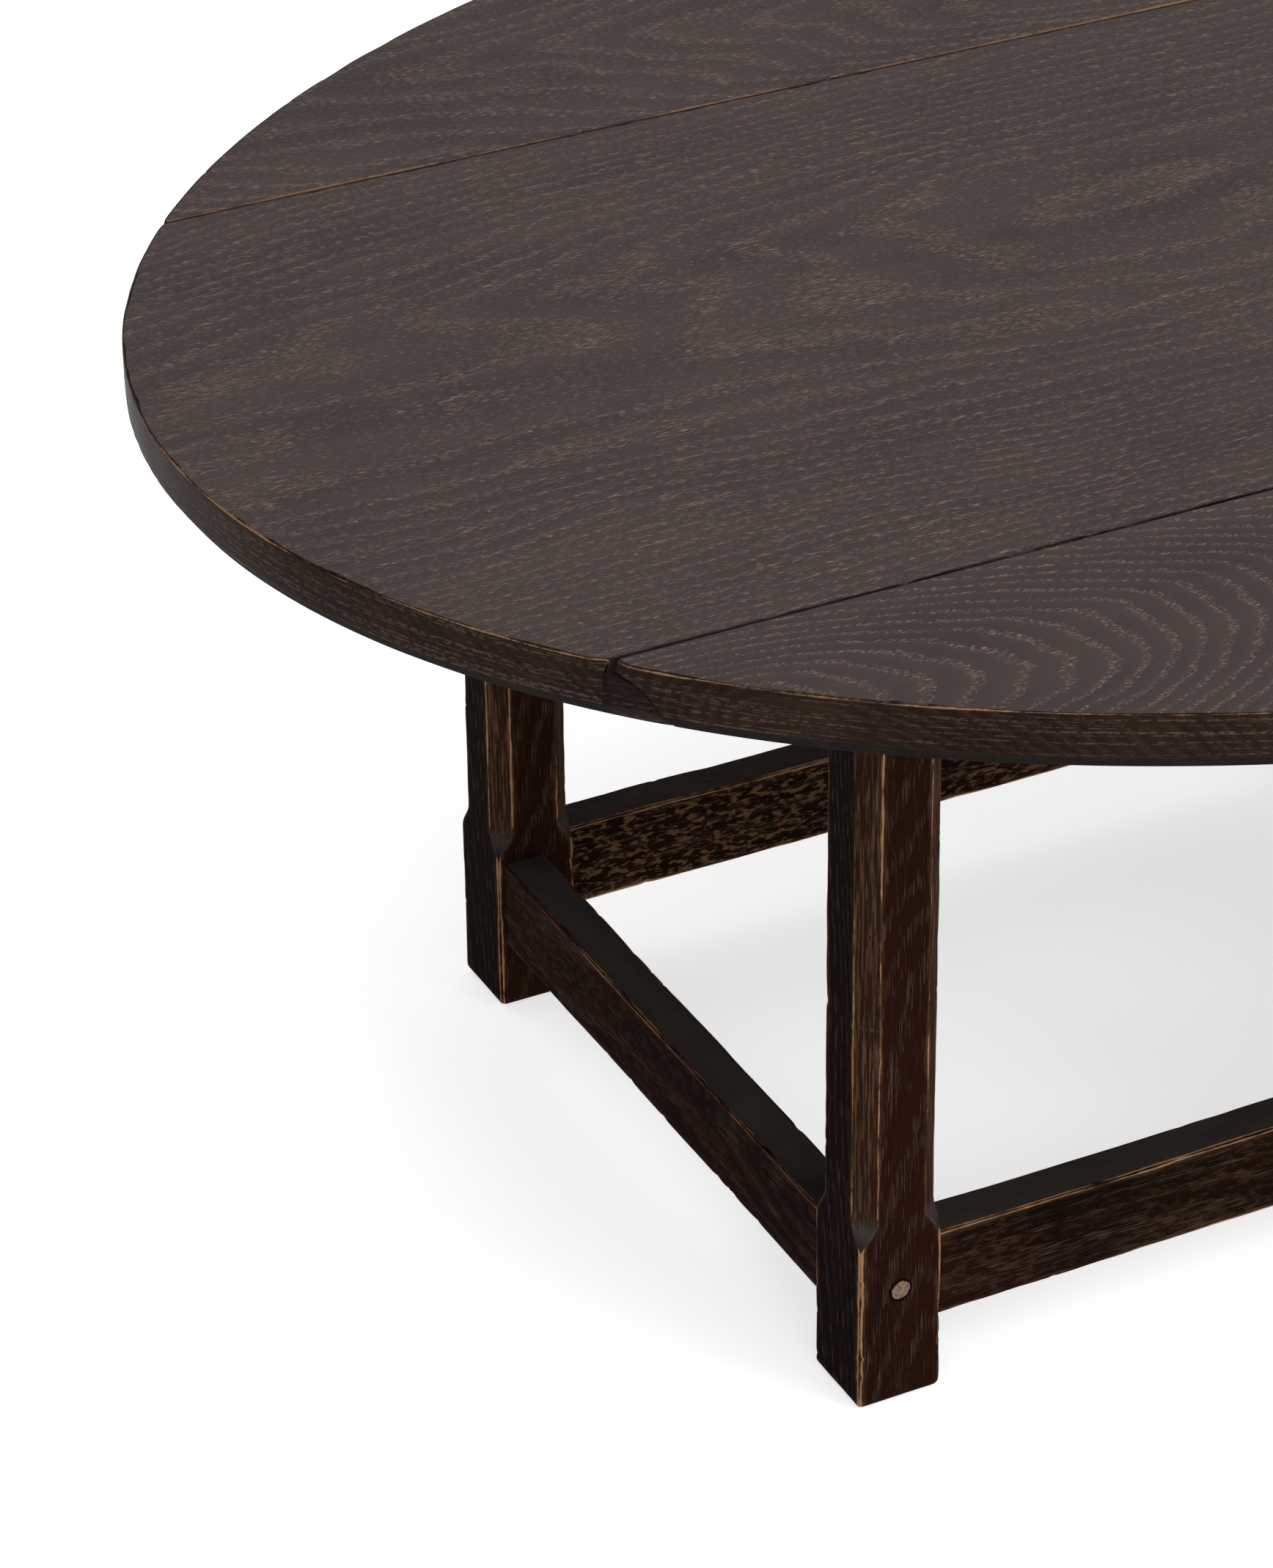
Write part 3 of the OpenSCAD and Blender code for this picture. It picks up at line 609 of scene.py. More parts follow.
def centre_rings():
    """Rings of the centre board: y, heights, which are moulded, and the length worn off their ends.
    Each edge is a worn round, a fillet and a quarter round."""
    edge, axis = joint_place()
    top = CAD_BOX[1][2]
    bottom = top - TOP_THICKNESS
    gaps = np.array([8, 5, 4, 3, 1.8, 1.0, 0.55, 0.25, 0.08, 0]) * MM
    worn = np.array([0, 0, 0, 0, 0, 0.03, 0.12, 0.3, 0.55, 0.9]) * MM
    housing = hinge_spans()[0][2] - HOUSING_ROOM
    marks = [housing - 0.05 * MM, housing + 0.05 * MM, edge - 3.55 * MM, edge - 3.45 * MM]
    inner = np.unique(np.concatenate([np.linspace(0, edge - 9 * MM, 54), marks, edge - gaps]))
    turn = np.radians(np.array([90, 84, 76, 66, 54, 40, 26, 12, 0]))
    outer = np.unique(np.concatenate([edge + OVOLO * np.cos(turn), [edge + 3.45 * MM, edge + 3.55 * MM]]))
    z_inner = top - np.interp(edge - inner, gaps[::-1], worn[::-1])
    z_outer = axis + np.sqrt(np.maximum(OVOLO ** 2 - (outer - edge) ** 2, 0))
    y = np.concatenate([inner, outer])
    z_top = np.concatenate([z_inner, z_outer])
    recess = np.concatenate([np.zeros(len(inner), bool), np.ones(len(outer), bool)])
    rounded = 3.4 * MM * np.clip(1 - (edge - y) / (7 * MM), 0, 1) ** 2
    rounded[recess] = 1.0 * MM
    both = [np.concatenate([v[::-1], v[1:]]) for v in (z_top, recess, rounded)]
    across = np.concatenate([-y[::-1], y[1:]])
    worn_off = np.where(across > 0, 0.2, 1.0) * both[2]
    return across, both[0], np.full(len(across), bottom), both[1], worn_off


def leaf_rings(side):
    """Rings of a leaf, from the joint outwards: the lip, the hollow under it and the oval part."""
    edge, axis = joint_place()
    top = CAD_BOX[1][2]
    bottom = top - TOP_THICKNESS
    b = CAD_BOX[1][1]
    hollow = OVOLO + JOINT_GAP
    inner = np.array([0, 0.08, 0.25, 0.55, 1.0, 1.8, 3, 4.5]) * MM
    worn = np.array([0.9, 0.55, 0.3, 0.12, 0.03, 0, 0, 0]) * MM
    y_lip = edge + JOINT_GAP + inner + (FAR_JOINT_WEAR if side > 0 else 0)
    arc = np.radians(np.array([74, 64, 54, 42, 30, 18, 8, 0]))
    y_arc = edge + hollow * np.cos(arc)
    z_arc = axis + hollow * np.sin(arc)
    y_lip = y_lip[y_lip < y_arc[0] - 0.1 * MM]
    z_lip = axis + np.sqrt(np.maximum(hollow ** 2 - (y_lip - edge) ** 2, 0))
    first = edge + hollow + 0.02 * MM
    housing = hinge_spans()[0][3] + HOUSING_ROOM
    turn = np.linspace(math.asin(first / b), 0.5 * np.pi, 205)
    oval = np.sort(np.append(b * np.sin(turn), [housing - 0.05 * MM, housing + 0.05 * MM]))
    y = np.concatenate([y_lip, y_arc, [y_arc[-1] + 0.01 * MM], oval])
    z_bottom = np.concatenate([z_lip, z_arc, [bottom], np.full(len(oval), bottom)])
    z_top = np.full(len(y), top)
    z_top[: len(y_lip)] -= worn[: len(y_lip)]
    corner = (5.5 if side < 0 else 0.6) * MM
    worn_off = corner * np.clip(1 - (y - edge - JOINT_GAP) / (11 * MM), 0, 1) ** 2.2
    if side < 0:
        return -y[::-1], z_top[::-1], z_bottom[::-1], worn_off[::-1]
    return y, z_top, z_bottom, worn_off


# ---------------------------------------------------------------- materials


class Shade:
    """A short way to write a material's nodes: each call adds a node, sets its inputs and returns it."""

    def __init__(self, name):
        self.material = bpy.data.materials.new(name)
        self.material.use_nodes = True
        self.tree = self.material.node_tree
        self.surface = next(n for n in self.tree.nodes if n.type == "BSDF_PRINCIPLED")

    def node(self, kind, inputs=(), **settings):
        made = self.tree.nodes.new(kind)
        for key, value in settings.items():
            setattr(made, key, value)
        for key, value in dict(inputs).items():
            self.feed(made.inputs[key], value)
        return made

    def feed(self, socket, value):
        if isinstance(value, bpy.types.NodeSocket):
            self.tree.links.new(value, socket)
        elif isinstance(value, bpy.types.Node):
            self.tree.links.new(value.outputs[0], socket)
        else:
            socket.default_value = value

    def math(self, operation, a, b=0.0, c=0.0, clamp=False):
        made = self.node("ShaderNodeMath", {0: a, 1: b, 2: c}, operation=operation)
        made.use_clamp = clamp
        return made.outputs[0]

    def noise(self, vector, scale=1.0, detail=2.0, roughness=0.5):
        settings = {"Vector": vector, "Scale": scale, "Detail": detail, "Roughness": roughness}
        made = self.node("ShaderNodeTexNoise", settings)
        return made.outputs["Fac"]

    def stretch(self, x, y, z, scales, offset=(0, 0, 0)):
        parts = [self.math("MULTIPLY_ADD", v, s, o) for v, s, o in zip((x, y, z), scales, offset)]
        return self.node("ShaderNodeCombineXYZ", {0: parts[0], 1: parts[1], 2: parts[2]}).outputs[0]

    def step(self, value, low, high, to_low=0.0, to_high=1.0):
        made = self.node(
            "ShaderNodeMapRange",
            {"Value": value, "From Min": low, "From Max": high, "To Min": to_low, "To Max": to_high},
            interpolation_type="SMOOTHSTEP",
        )
        return made.outputs[0]

    def mix(self, factor, a, b, blend="MIX"):
        made = self.node("ShaderNodeMix", data_type="RGBA", blend_type=blend)
        self.feed(made.inputs["Factor"], factor)
        self.feed(made.inputs["A"], a if not isinstance(a, tuple) else (*a, 1.0)[:4])
        self.feed(made.inputs["B"], b if not isinstance(b, tuple) else (*b, 1.0)[:4])
        return made.outputs["Result"]

    def attribute(self, name):
        return self.node("ShaderNodeAttribute", attribute_name=name).outputs["Fac"]


def oak_coordinates(shade, axis, heart, slope, seed):
    """Grain coordinates in metres: along the grain, across it, and the distance from the tree's heart line.
    The line leans to the board by slope, so that a face cuts the rings in long arches."""
    parts = shade.node("ShaderNodeSeparateXYZ", {0: shade.node("ShaderNodeTexCoord").outputs["Object"]})
    order = [parts.outputs[(axis + k) % 3] for k in range(3)]
    along, u, v = order
    drift = shade.noise(shade.stretch(along, u, v, (2.2, 5.0, 5.0), (seed, seed * 0.7, 0)), detail=2.0)
    drift_2 = shade.noise(shade.stretch(along, u, v, (5.5, 22.0, 22.0), (0, seed, seed * 0.3)), detail=3.0)
    bend = shade.math("MULTIPLY_ADD", drift, 0.050, shade.math("MULTIPLY", drift_2, 0.013))
    across = shade.math("SUBTRACT", u, shade.math("MULTIPLY_ADD", along, slope[0], heart[0]))
    deep = shade.math("SUBTRACT", v, shade.math("MULTIPLY_ADD", along, slope[1], heart[1]))
    squares = [shade.math("POWER", across, 2.0), shade.math("POWER", deep, 2.0)]
    radius = shade.math("SQRT", shade.math("ADD", *squares))
    rings = shade.math("ADD", radius, bend)
    return along, u, v, rings


def oak(name, axis, stain, shade_colour, heart, slope, seed,
        edge_width=0.22, edge_spread=7.0, pore_strength=0.75, pore_size=(230, 3000), pore_limit=0.68,
        ring_pull=0.09, ring_step=0.0042, rough=0.46, gloss=0.02,
        rim=None, ray=0.0, bevels=False, pegs=None, worn=1.0, burnish=0.0, streak=0.5):
    """Dark stained oak: growth rings, pores filled pale, slow streaks of stain, bare wood along worn edges.
    axis is the grain's direction. rim is the stain of cut edges. The piece's own attributes say how far a
    point is from an edge, where shade or a grey sheen is painted, where chips and joint lines are darkened and
    where stain collects, how dark each face is drawn (painted shade on the legs), and what lies on a bevel."""
    colours = bpy.context.scene.table_colours
    s = Shade(name)
    along, u, v, rings = oak_coordinates(s, axis, heart, slope, seed)
    phase = s.math("FRACT", s.math("DIVIDE", rings, ring_step))
    early = s.step(s.math("PINGPONG", phase, 0.5), 0.10, 0.27, 1.0, 0.0)
    late = s.step(phase, 0.35, 0.95)
    long_pore, wide_pore = pore_size
    pores = s.noise(s.stretch(along, u, v, (long_pore, wide_pore, wide_pore), (seed, 0, 0)), detail=0.6)
    fine = s.noise(s.stretch(along, u, v, (45, 2600, 2600), (0, seed, 0)), detail=2.0)
    patch = s.noise(s.stretch(along, u, v, (7, 16, 16), (seed * 2, 0, 0)), detail=3.0)
    limit = s.math("MULTIPLY_ADD", s.math("SUBTRACT", patch, 0.5), -0.07, pore_limit)
    limit = s.math("MULTIPLY_ADD", early, -ring_pull, limit)
    open_pore = s.step(s.math("SUBTRACT", pores, limit), 0.0, 0.03)
    hair = s.step(fine, 0.60, 0.74)
    slow = s.noise(s.stretch(along, u, v, (3.0, 34, 34), (0, seed, seed)), detail=4.0)
    cloud = s.noise(s.stretch(along, u, v, (9, 14, 14), (seed, seed, 0)), detail=3.0)
    tone = s.math("ADD", s.math("MULTIPLY", slow, streak), s.math("MULTIPLY", cloud, 1 - streak))
    tone = s.math("ADD", s.math("MULTIPLY", late, 0.12), tone)
    # On the frame, each face's tone attribute, which is painted shade on the legs, darkens or lightens the stain.
    if bevels:
        tone = s.math("ADD", tone, s.math("MULTIPLY_ADD", s.attribute("tone"), 0.5, -0.25))
    body = s.mix(s.step(tone, 0.34, 0.72), shade_colour, stain)
    filler = tuple(colours.filled_pore)
    shown = s.math("MULTIPLY", open_pore, pore_strength)
    if rim is not None:
        side = s.attribute("rim")
        dark_rim = s.mix(s.step(tone, 0.38, 0.68), tuple(0.5 * c for c in rim), rim)
        lines = s.noise(s.stretch(along, u, v, (9, 9, 1100), (seed, 0, 0)), detail=1.5)
        dashes = s.noise(s.stretch(along, u, v, (330, 330, 900), (0, seed, 0)), detail=1.0)
        lines = s.math("MULTIPLY", s.step(lines, 0.50, 0.62), s.step(dashes, 0.42, 0.60))
        dark_rim = s.mix(s.math("MULTIPLY", lines, 0.16), dark_rim, filler)
        body = s.mix(side, body, dark_rim)
        shown = s.math("MULTIPLY", shown, s.math("MULTIPLY_ADD", side, -0.9, 1.0))
    colour = s.mix(shown, body, filler)
    colour = s.mix(s.math("MULTIPLY", hair, 0.05), colour, filler)
    if ray:
        flake = s.noise(s.stretch(along, u, v, (130, 330, 330), (0, 0, seed)), detail=3.0, roughness=0.65)
        flake = s.math("MULTIPLY", s.step(flake, 0.50, 0.60), s.step(cloud, 0.30, 0.50))
        colour = s.mix(s.math("MULTIPLY", flake, ray), colour, (0.105, 0.058, 0.029))
    edge = s.attribute("edge")
    rub_long = s.noise(s.stretch(along, u, v, (16, 30, 30), (seed, 3, 0)), detail=4.0, roughness=0.6)
    rub_fine = s.noise(s.stretch(along, u, v, (160, 600, 600), (2, seed, 0)), detail=3.0, roughness=0.6)
    reach = s.math("MULTIPLY_ADD", s.math("SUBTRACT", rub_long, 0.5), edge_width * edge_spread, edge_width)
    reach = s.math("MULTIPLY_ADD", s.math("SUBTRACT", rub_fine, 0.5), edge_width * 2.6, reach)
    if bevels:
        bevel = s.attribute("bevel")
        split = s.noise(s.stretch(along, u, v, (38, 900, 900), (0, 0, seed)), detail=3.0, roughness=0.6)
        gold = s.mix(s.step(split, 0.46, 0.66), (0.022, 0.0100, 0.0056), (0.095, 0.053, 0.028))
        colour = s.mix(s.math("MULTIPLY", bevel, 0.75), colour, gold)
        far_rub = s.math("SUBTRACT", s.math("MULTIPLY_ADD", reach, 2.4, 1.4), edge)
        brown = s.math("MULTIPLY", s.step(far_rub, -0.6, 2.4), s.step(split, 0.38, 0.62))
        colour = s.mix(s.math("MULTIPLY", brown, burnish * worn), colour, (0.085, 0.043, 0.021))
    # Painted light and marks: the mask lays painted shade in recesses and under the top, a painted grey sheen on
    # the rails' tops and in the stops, and darkens chips and joint lines.
    soot = s.attribute("soot")
    patchiness = s.noise(s.stretch(along, u, v, (30, 90, 90), (seed, 0, seed)), detail=3.0)
    patchiness = s.step(patchiness, 0.3, 0.7, 0.72, 1.0)
    marks_and_light_colour = tuple(colours.dust if bevels else colours.joint_and_shade_black)
    pool_and_painted_light = s.mix(cloud, tuple(0.6 * c for c in marks_and_light_colour), marks_and_light_colour)
    colour = s.mix(s.math("MULTIPLY", soot, patchiness), colour, pool_and_painted_light)
    bare = s.step(s.math("SUBTRACT", reach, edge), -0.10, 0.25)
    bare = s.math("MULTIPLY", bare, worn)
    threads = s.noise(s.stretch(along, u, v, (60, 500, 500)), detail=2.0)
    bare_colour = s.mix(threads, tuple(0.4 * c for c in colours.bare_wood), tuple(colours.bare_wood))
    colour = s.mix(bare, colour, bare_colour)
    # Painted shade: a dark ring round each peg's end.
    if pegs is not None:
        colour = painted_peg_gap_shade(s, colour, pegs)
    s.feed(s.surface.inputs["Base Color"], colour)
    roughness = s.math("MULTIPLY_ADD", s.math("SUBTRACT", slow, 0.5), 0.16, rough)
    roughness = s.math("MULTIPLY_ADD", soot, 0.3, roughness)
    roughness = s.math("MULTIPLY_ADD", open_pore, 0.25, roughness, clamp=True)
    s.feed(s.surface.inputs["Roughness"], roughness)
    s.surface.inputs["Specular IOR Level"].default_value = gloss
    height = s.math("MULTIPLY_ADD", open_pore, -0.8, s.math("MULTIPLY", fine, 0.35))
    height = s.math("MULTIPLY_ADD", slow, 0.8, height)
    height = s.math("MULTIPLY_ADD", early, -0.25, height)
    bump = s.node("ShaderNodeBump", {"Strength": 0.55, "Distance": 0.00025, "Height": height})
    s.feed(s.surface.inputs["Normal"], bump)
    return s.material


def painted_peg_gap_shade(shade, colour, pegs):
    """Painted shade: a near-black ring standing for the shaded gap round each peg, by distance from the peg's own
    line, mirrored to the other end.
    """
    x, z, radius = pegs
    parts = shade.node("ShaderNodeSeparateXYZ", {0: shade.node("ShaderNodeTexCoord").outputs["Object"]})
    dx = shade.math("SUBTRACT", shade.math("ABSOLUTE", parts.outputs[0]), x)
    dz = shade.math("SUBTRACT", parts.outputs[2], z)
    away = shade.math("SQRT", shade.math("ADD", shade.math("POWER", dx, 2.0), shade.math("POWER", dz, 2.0)))
    place = shade.stretch(*[parts.outputs[k] for k in range(3)], (260, 260, 260))
    ragged = shade.math("MULTIPLY", shade.noise(place), 0.0022)
    away = shade.math("ADD", away, shade.math("SUBTRACT", ragged, 0.0011))
    gap = shade.step(away, radius + 0.0004, radius + 0.0017, 1.0, 0.0)
    return shade.mix(gap, colour, (0.0022, 0.0018, 0.0016))


def peg_material():
    """End grain of a pale oak peg: close rings, fine pores and a little dirt."""
    colours = bpy.context.scene.table_colours
    s = Shade("oak_peg_end")
    place = s.node("ShaderNodeTexCoord").outputs["Object"]
    grain = s.noise(place, 900, 3.0)
    dirt = s.noise(place, 320, 3.0)
    base = s.mix(s.step(grain, 0.35, 0.7), tuple(0.5 * c for c in colours.peg_end), tuple(colours.peg_end))
    base = s.mix(s.step(dirt, 0.55, 0.75), base, (0.045, 0.034, 0.026))
    s.feed(s.surface.inputs["Base Color"], base)
    s.surface.inputs["Specular IOR Level"].default_value = 0.2
    s.feed(s.surface.inputs["Roughness"], s.step(grain, 0.2, 0.8, 0.55, 0.8))
    bump = s.node("ShaderNodeBump", {"Strength": 0.6, "Distance": 0.0003, "Height": grain})
    s.feed(s.surface.inputs["Normal"], bump)
    return s.material


def iron_material(name, colour, rough, metal, rust):
    """Dull metal with a forged skin, worn bright in patches and rusted in others."""
    s = Shade(name)
    place = s.node("ShaderNodeTexCoord").outputs["Object"]
    skin = s.noise(place, 260, 4.0)
    patch = s.noise(place, 60, 3.0)
    base = s.mix(s.step(skin, 0.35, 0.7), tuple(0.55 * c for c in colour), tuple(colour))
    base = s.mix(s.math("MULTIPLY", s.step(patch, 0.56, 0.72), rust), base, (0.09, 0.032, 0.012))
    s.feed(s.surface.inputs["Base Color"], base)
    s.surface.inputs["Metallic"].default_value = metal
    s.feed(s.surface.inputs["Roughness"], s.step(skin, 0.2, 0.8, rough - 0.1, rough + 0.12))
    bump = s.node("ShaderNodeBump", {"Strength": 0.4, "Distance": 0.0002, "Height": skin})
    s.feed(s.surface.inputs["Normal"], bump)
    return s.material


def frame_oak(name, axis, seed, **more):
    """The legs' and rails' oak, with the colours of the frame."""
    colours = bpy.context.scene.table_colours
    settings = dict(
        heart=(0.012 * math.cos(seed), 0.03), slope=(0.03 * math.sin(seed * 1.7), 0.10), edge_width=0.34,
        edge_spread=8.0, pore_strength=0.14, pore_size=(75, 3600), pore_limit=0.70, ring_pull=0.12,
        ring_step=0.0048, rough=0.55, gloss=0.003, bevels=True, burnish=0.5,
    )
    settings.update(more)
    return oak(name, axis, tuple(colours.frame_stain), tuple(colours.frame_shade), seed=seed, **settings)


# ---------------------------------------------------------------- operators, one for each group of pieces


class TABLE_OT_centre_board(bpy.types.Operator):
    """Build the centre board with its two quarter-round edges"""

    bl_idname = "table.centre_board"
    bl_label = "Centre board"

    def execute(self, context):
        colours = context.scene.table_colours
        y, z_top, z_bottom, recess, corner = centre_rings()
        edge, _ = joint_place()
        material = oak(
            "oak_top_centre", 0, tuple(colours.top_stain), tuple(0.78 * c for c in colours.top_stain),
            heart=(0.035, 0.21), slope=(0.02, 0.035), seed=3.1, ring_pull=0.07, ring_step=0.0052,
            rough=0.42, rim=tuple(colours.rim_stain),
        )
        splinters = (
            (-441.8 * MM, 1.0 * MM, 2.2 * MM),
            (-387.5 * MM, 2.0 * MM, 3.4 * MM),
            (-381.0 * MM, 2.2 * MM, 2.2 * MM),
            (-349.6 * MM, 1.4 * MM, 2.8 * MM),
            (-330.4 * MM, 1.2 * MM, 2.0 * MM),
        )
        piece = board(
            "centre_board_worn", y, z_top, z_bottom, 11, 520, corner, (-edge, edge), recess, splinters,
        )
        dress(piece, material, "centre_board")
        return {"FINISHED"}


class TABLE_OT_leaves(bpy.types.Operator):
    """Build the two leaves with their lips, hollows and bevelled rims"""

    bl_idname = "table.leaves"
    bl_label = "Leaves"

    def execute(self, context):
        colours = context.scene.table_colours
        grain = {"front": ((-0.300, 0.2325), (0.03, -0.35)), "back": ((0.31, 0.33), (-0.03, 0.10))}
        pores = {"front": (380, 2500), "back": (200, 2900)}
        limits = {"front": (0.765, 0.17), "back": (0.67, 0.08)}
        for side, sign in (("front", -1), ("back", 1)):
            y, z_top, z_bottom, corner = leaf_rings(sign)
            heart, slope = grain[side]
            material = oak(
                f"oak_top_{side}", 0, tuple(colours.top_stain), tuple(0.78 * c for c in colours.top_stain),
                heart=heart, slope=slope, seed=5.7 + sign, ring_step=0.0052, rough=0.42,
                pore_size=pores[side], pore_limit=limits[side][0], ring_pull=limits[side][1],
                rim=tuple(colours.rim_stain),
            )
            lines = (sign * np.abs(y).min(),)
            piece = board(
                f"leaf_{side}_worn", y, z_top, z_bottom, 40 + sign, 220, corner, lines,
                rubbed=side == "back",
            )
            dress(piece, material, f"leaf_{side}")
        return {"FINISHED"}


class TABLE_OT_legs(bpy.types.Operator):
    """Build the four fixed legs with stopped chamfers and worn feet"""

    bl_idname = "table.legs"
    bl_label = "Fixed legs"

    def execute(self, context):
        sizes = context.scene.table_sizes
        pegs_low, pegs_high = corners("frame_pegs")
        peg_x = pegs_high[0] - PEG_RADIUS
        peg_z = pegs_low[2] + PEG_RADIUS
        for number, (end, side) in enumerate((e, s) for e in ENDS for s in SIDES):
            node = f"leg_{side}_{end}"
            low, high = corners(node)
            places = stations(low[2], high[2], 1.9 * MM)
            limits = np.tile([low[0], high[0], low[1], high[1]], (len(places), 1))
            run = leg_chamfer(places, high[2], sizes)
            cut = np.repeat(run[:, None], 4, 1)
            stops = ((FOOT_BLOCK + STOP_OFFSET, -1), (high[2] - HEAD_BLOCK - STOP_OFFSET, 1))
            piece = timber(
                f"{node}_worn", 2, places, limits, cut, 100 + 13 * number,
                rounding=(sizes.foot_round, 0.5 * MM),
                # Painted shade: the left face darkest and the front face lightest, as the light falls from the
                # front right.
                tones=(0.35, 0.5, 0.1, 0.9), scoops=stops,
            )
            heart = ((low[0] + high[0]) / 2 + 0.006, low[1] + 0.055)
            material = frame_oak(
                f"oak_{node}", 2, 2.3 + 1.9 * number, heart=heart, slope=(0.02, 0.11),
                pegs=(peg_x, peg_z, PEG_RADIUS), edge_width=0.38,
            )
            dress(piece, material, node)
        return {"FINISHED"}


class TABLE_OT_long_rails(bpy.types.Operator):
    """Build the long stretchers and aprons, notched where the gate legs close in"""

    bl_idname = "table.long_rails"
    bl_label = "Long stretchers and aprons"

    def execute(self, context):
        sizes = context.scene.table_sizes
        clear = corners("leg_front_right")[0][0] + SHOULDER_ROOM
        for number, side in enumerate(SIDES):
            outer = -1 if side == "front" else 1
            notches = []
            for end in ENDS:
                leg_low, leg_high = corners(f"gate_leg_{side}_{end}")
                notches.append((leg_low[0] - SHOULDER_ROOM, leg_high[0] + SHOULDER_ROOM))
            for kind in ("stretcher", "apron"):
                node = f"{kind}_{side}"
                low, high = corners(node)
                middle = (low[1] + high[1]) / 2
                places = stations(-clear, clear, 2.6 * MM, *[n for pair in notches for n in pair])
                limits = np.tile([low[1], high[1], low[2], high[2]], (len(places), 1))
                for first, last in notches:
                    inside = (places > first) & (places < last)
                    limits[inside, 1 if outer > 0 else 0] = middle
                if kind == "stretcher":
                    dip = 1.2 * MM * wander(places, 60 + number, 55 * MM) ** 2
                    limits[:, 3] -= dip
                cut = np.full((len(places), 4), 1.0 * sizes.arris)
                seed = 200 + 17 * number + len(kind)
                piece = timber(f"{node}_worn", 0, places, limits, cut, seed, up_face=1)
                material = frame_oak(
                    f"oak_{node}", 0, 4.4 + 2.7 * number,
                    heart=(middle + 0.05, (low[2] + high[2]) / 2 - 0.02),
                    slope=(0.01, 0.015), ray=0.8 if side == "back" else 0.15, edge_width=0.36,
                )
                dress(piece, material, node)
        return {"FINISHED"}


class TABLE_OT_end_rails(bpy.types.Operator):
    """Build the end stretchers and aprons"""

    bl_idname = "table.end_rails"
    bl_label = "End stretchers and aprons"

    def execute(self, context):
        sizes = context.scene.table_sizes
        clear = corners("leg_back_left")[0][1] + SHOULDER_ROOM
        for number, end in enumerate(ENDS):
            for kind in ("stretcher", "apron"):
                node = f"{kind}_{end}"
                low, high = corners(node)
                places = stations(-clear, clear, 2.2 * MM)
                limits = np.tile([low[2], high[2], low[0], high[0]], (len(places), 1))
                if kind == "stretcher":
                    limits[:, 1] -= 0.8 * MM * wander(places, 80 + number, 45 * MM) ** 2
                cut = np.full((len(places), 4), 0.9 * sizes.arris)
                seed = 300 + 19 * number + len(kind)
                piece = timber(f"{node}_worn", 1, places, limits, cut, seed, up_face=0)
                material = frame_oak(
                    f"oak_{node}", 1, 7.9 + 3.1 * number,
                    heart=((low[2] + high[2]) / 2 + 0.01, low[0] + 0.06),
                    slope=(0.02, 0.02), ray=0.12, edge_width=0.24,
                )
                dress(piece, material, node)
        return {"FINISHED"}


class TABLE_OT_gates(bpy.types.Operator):
    """Build the four gates: half-lapped leg, post, and top and bottom rail"""

    bl_idname = "table.gates"
    bl_label = "Gates"

    def execute(self, context):
        sizes = context.scene.table_sizes
        for number, (end, side) in enumerate((e, s) for e in ENDS for s in SIDES):
            self.leg(sizes, side, end, 400 + 31 * number)
            for kind in ("post", "top_rail", "bottom_rail"):
                self.rail(sizes, kind, side, end, 500 + 37 * number + len(kind))
        return {"FINISHED"}

    def leg(self, sizes, side, end, seed):
        node = f"gate_leg_{side}_{end}"
        low, high = corners(node)
        rail_low, rail_high = corners(f"stretcher_{side}")
        apron_low, _ = corners(f"apron_{side}")
        middle = (low[1] + high[1]) / 2
        lower_lap = (rail_low[2] - SHOULDER_ROOM, rail_high[2] + SHOULDER_ROOM)
        laps = (lower_lap, (apron_low[2] - SHOULDER_ROOM, high[2] + MM))
        places = stations(low[2], high[2], 2.2 * MM, laps[0][0], laps[0][1], laps[1][0])
        limits = np.tile([low[0], high[0], low[1], high[1]], (len(places), 1))
        for first, last in laps:
            inside = (places > first) & (places < last)
            if side == "front":
                limits[inside, 3] = middle - 0.5 * MM
            else:
                limits[inside, 2] = middle + 0.5 * MM
        top = corners(f"apron_{side}")[1][2]
        run = leg_chamfer(places, top, sizes)
        cut = np.repeat(run[:, None], 4, 1)
        piece = timber(
            f"{node}_worn", 2, places, limits, cut, seed, rounding=(sizes.foot_round, 0.4 * MM),
            scoops=((FOOT_BLOCK + STOP_OFFSET, -1), (top - HEAD_BLOCK - STOP_OFFSET, 1)),
        )
        heart = ((low[0] + high[0]) / 2 - 0.01, low[1] + 0.06)
        dress(piece, frame_oak(f"oak_{node}", 2, seed * 0.11, heart=heart, slope=(0.02, 0.09)), node)

    def rail(self, sizes, kind, side, end, seed):
        node = f"gate_{kind}_{side}_{end}"
        low, high = corners(node)
        if kind == "post":
            places = stations(low[2], high[2], 3.0 * MM)
            limits = np.tile([low[0], high[0], low[1], high[1]], (len(places), 1))
            axis, up = 2, None
        else:
            start = corners(f"gate_post_{side}_{end}")[1][0] - MM
            stop = corners(f"gate_leg_{side}_{end}")[0][0] + MM
            places = stations(start, stop, 2.6 * MM)
            limits = np.tile([low[1], high[1], low[2], high[2]], (len(places), 1))
            axis, up = 0, 1
        cut = np.full((len(places), 4), 0.9 * sizes.arris)
        piece = timber(f"{node}_worn", axis, places, limits, cut, seed, up_face=up)
        spot = tuple((low + high)[[(axis + 1) % 3, (axis + 2) % 3]] / 2 + 0.03)
        dress(piece, frame_oak(f"oak_{node}", axis, seed * 0.09, heart=spot, slope=(0.02, 0.02)), node)


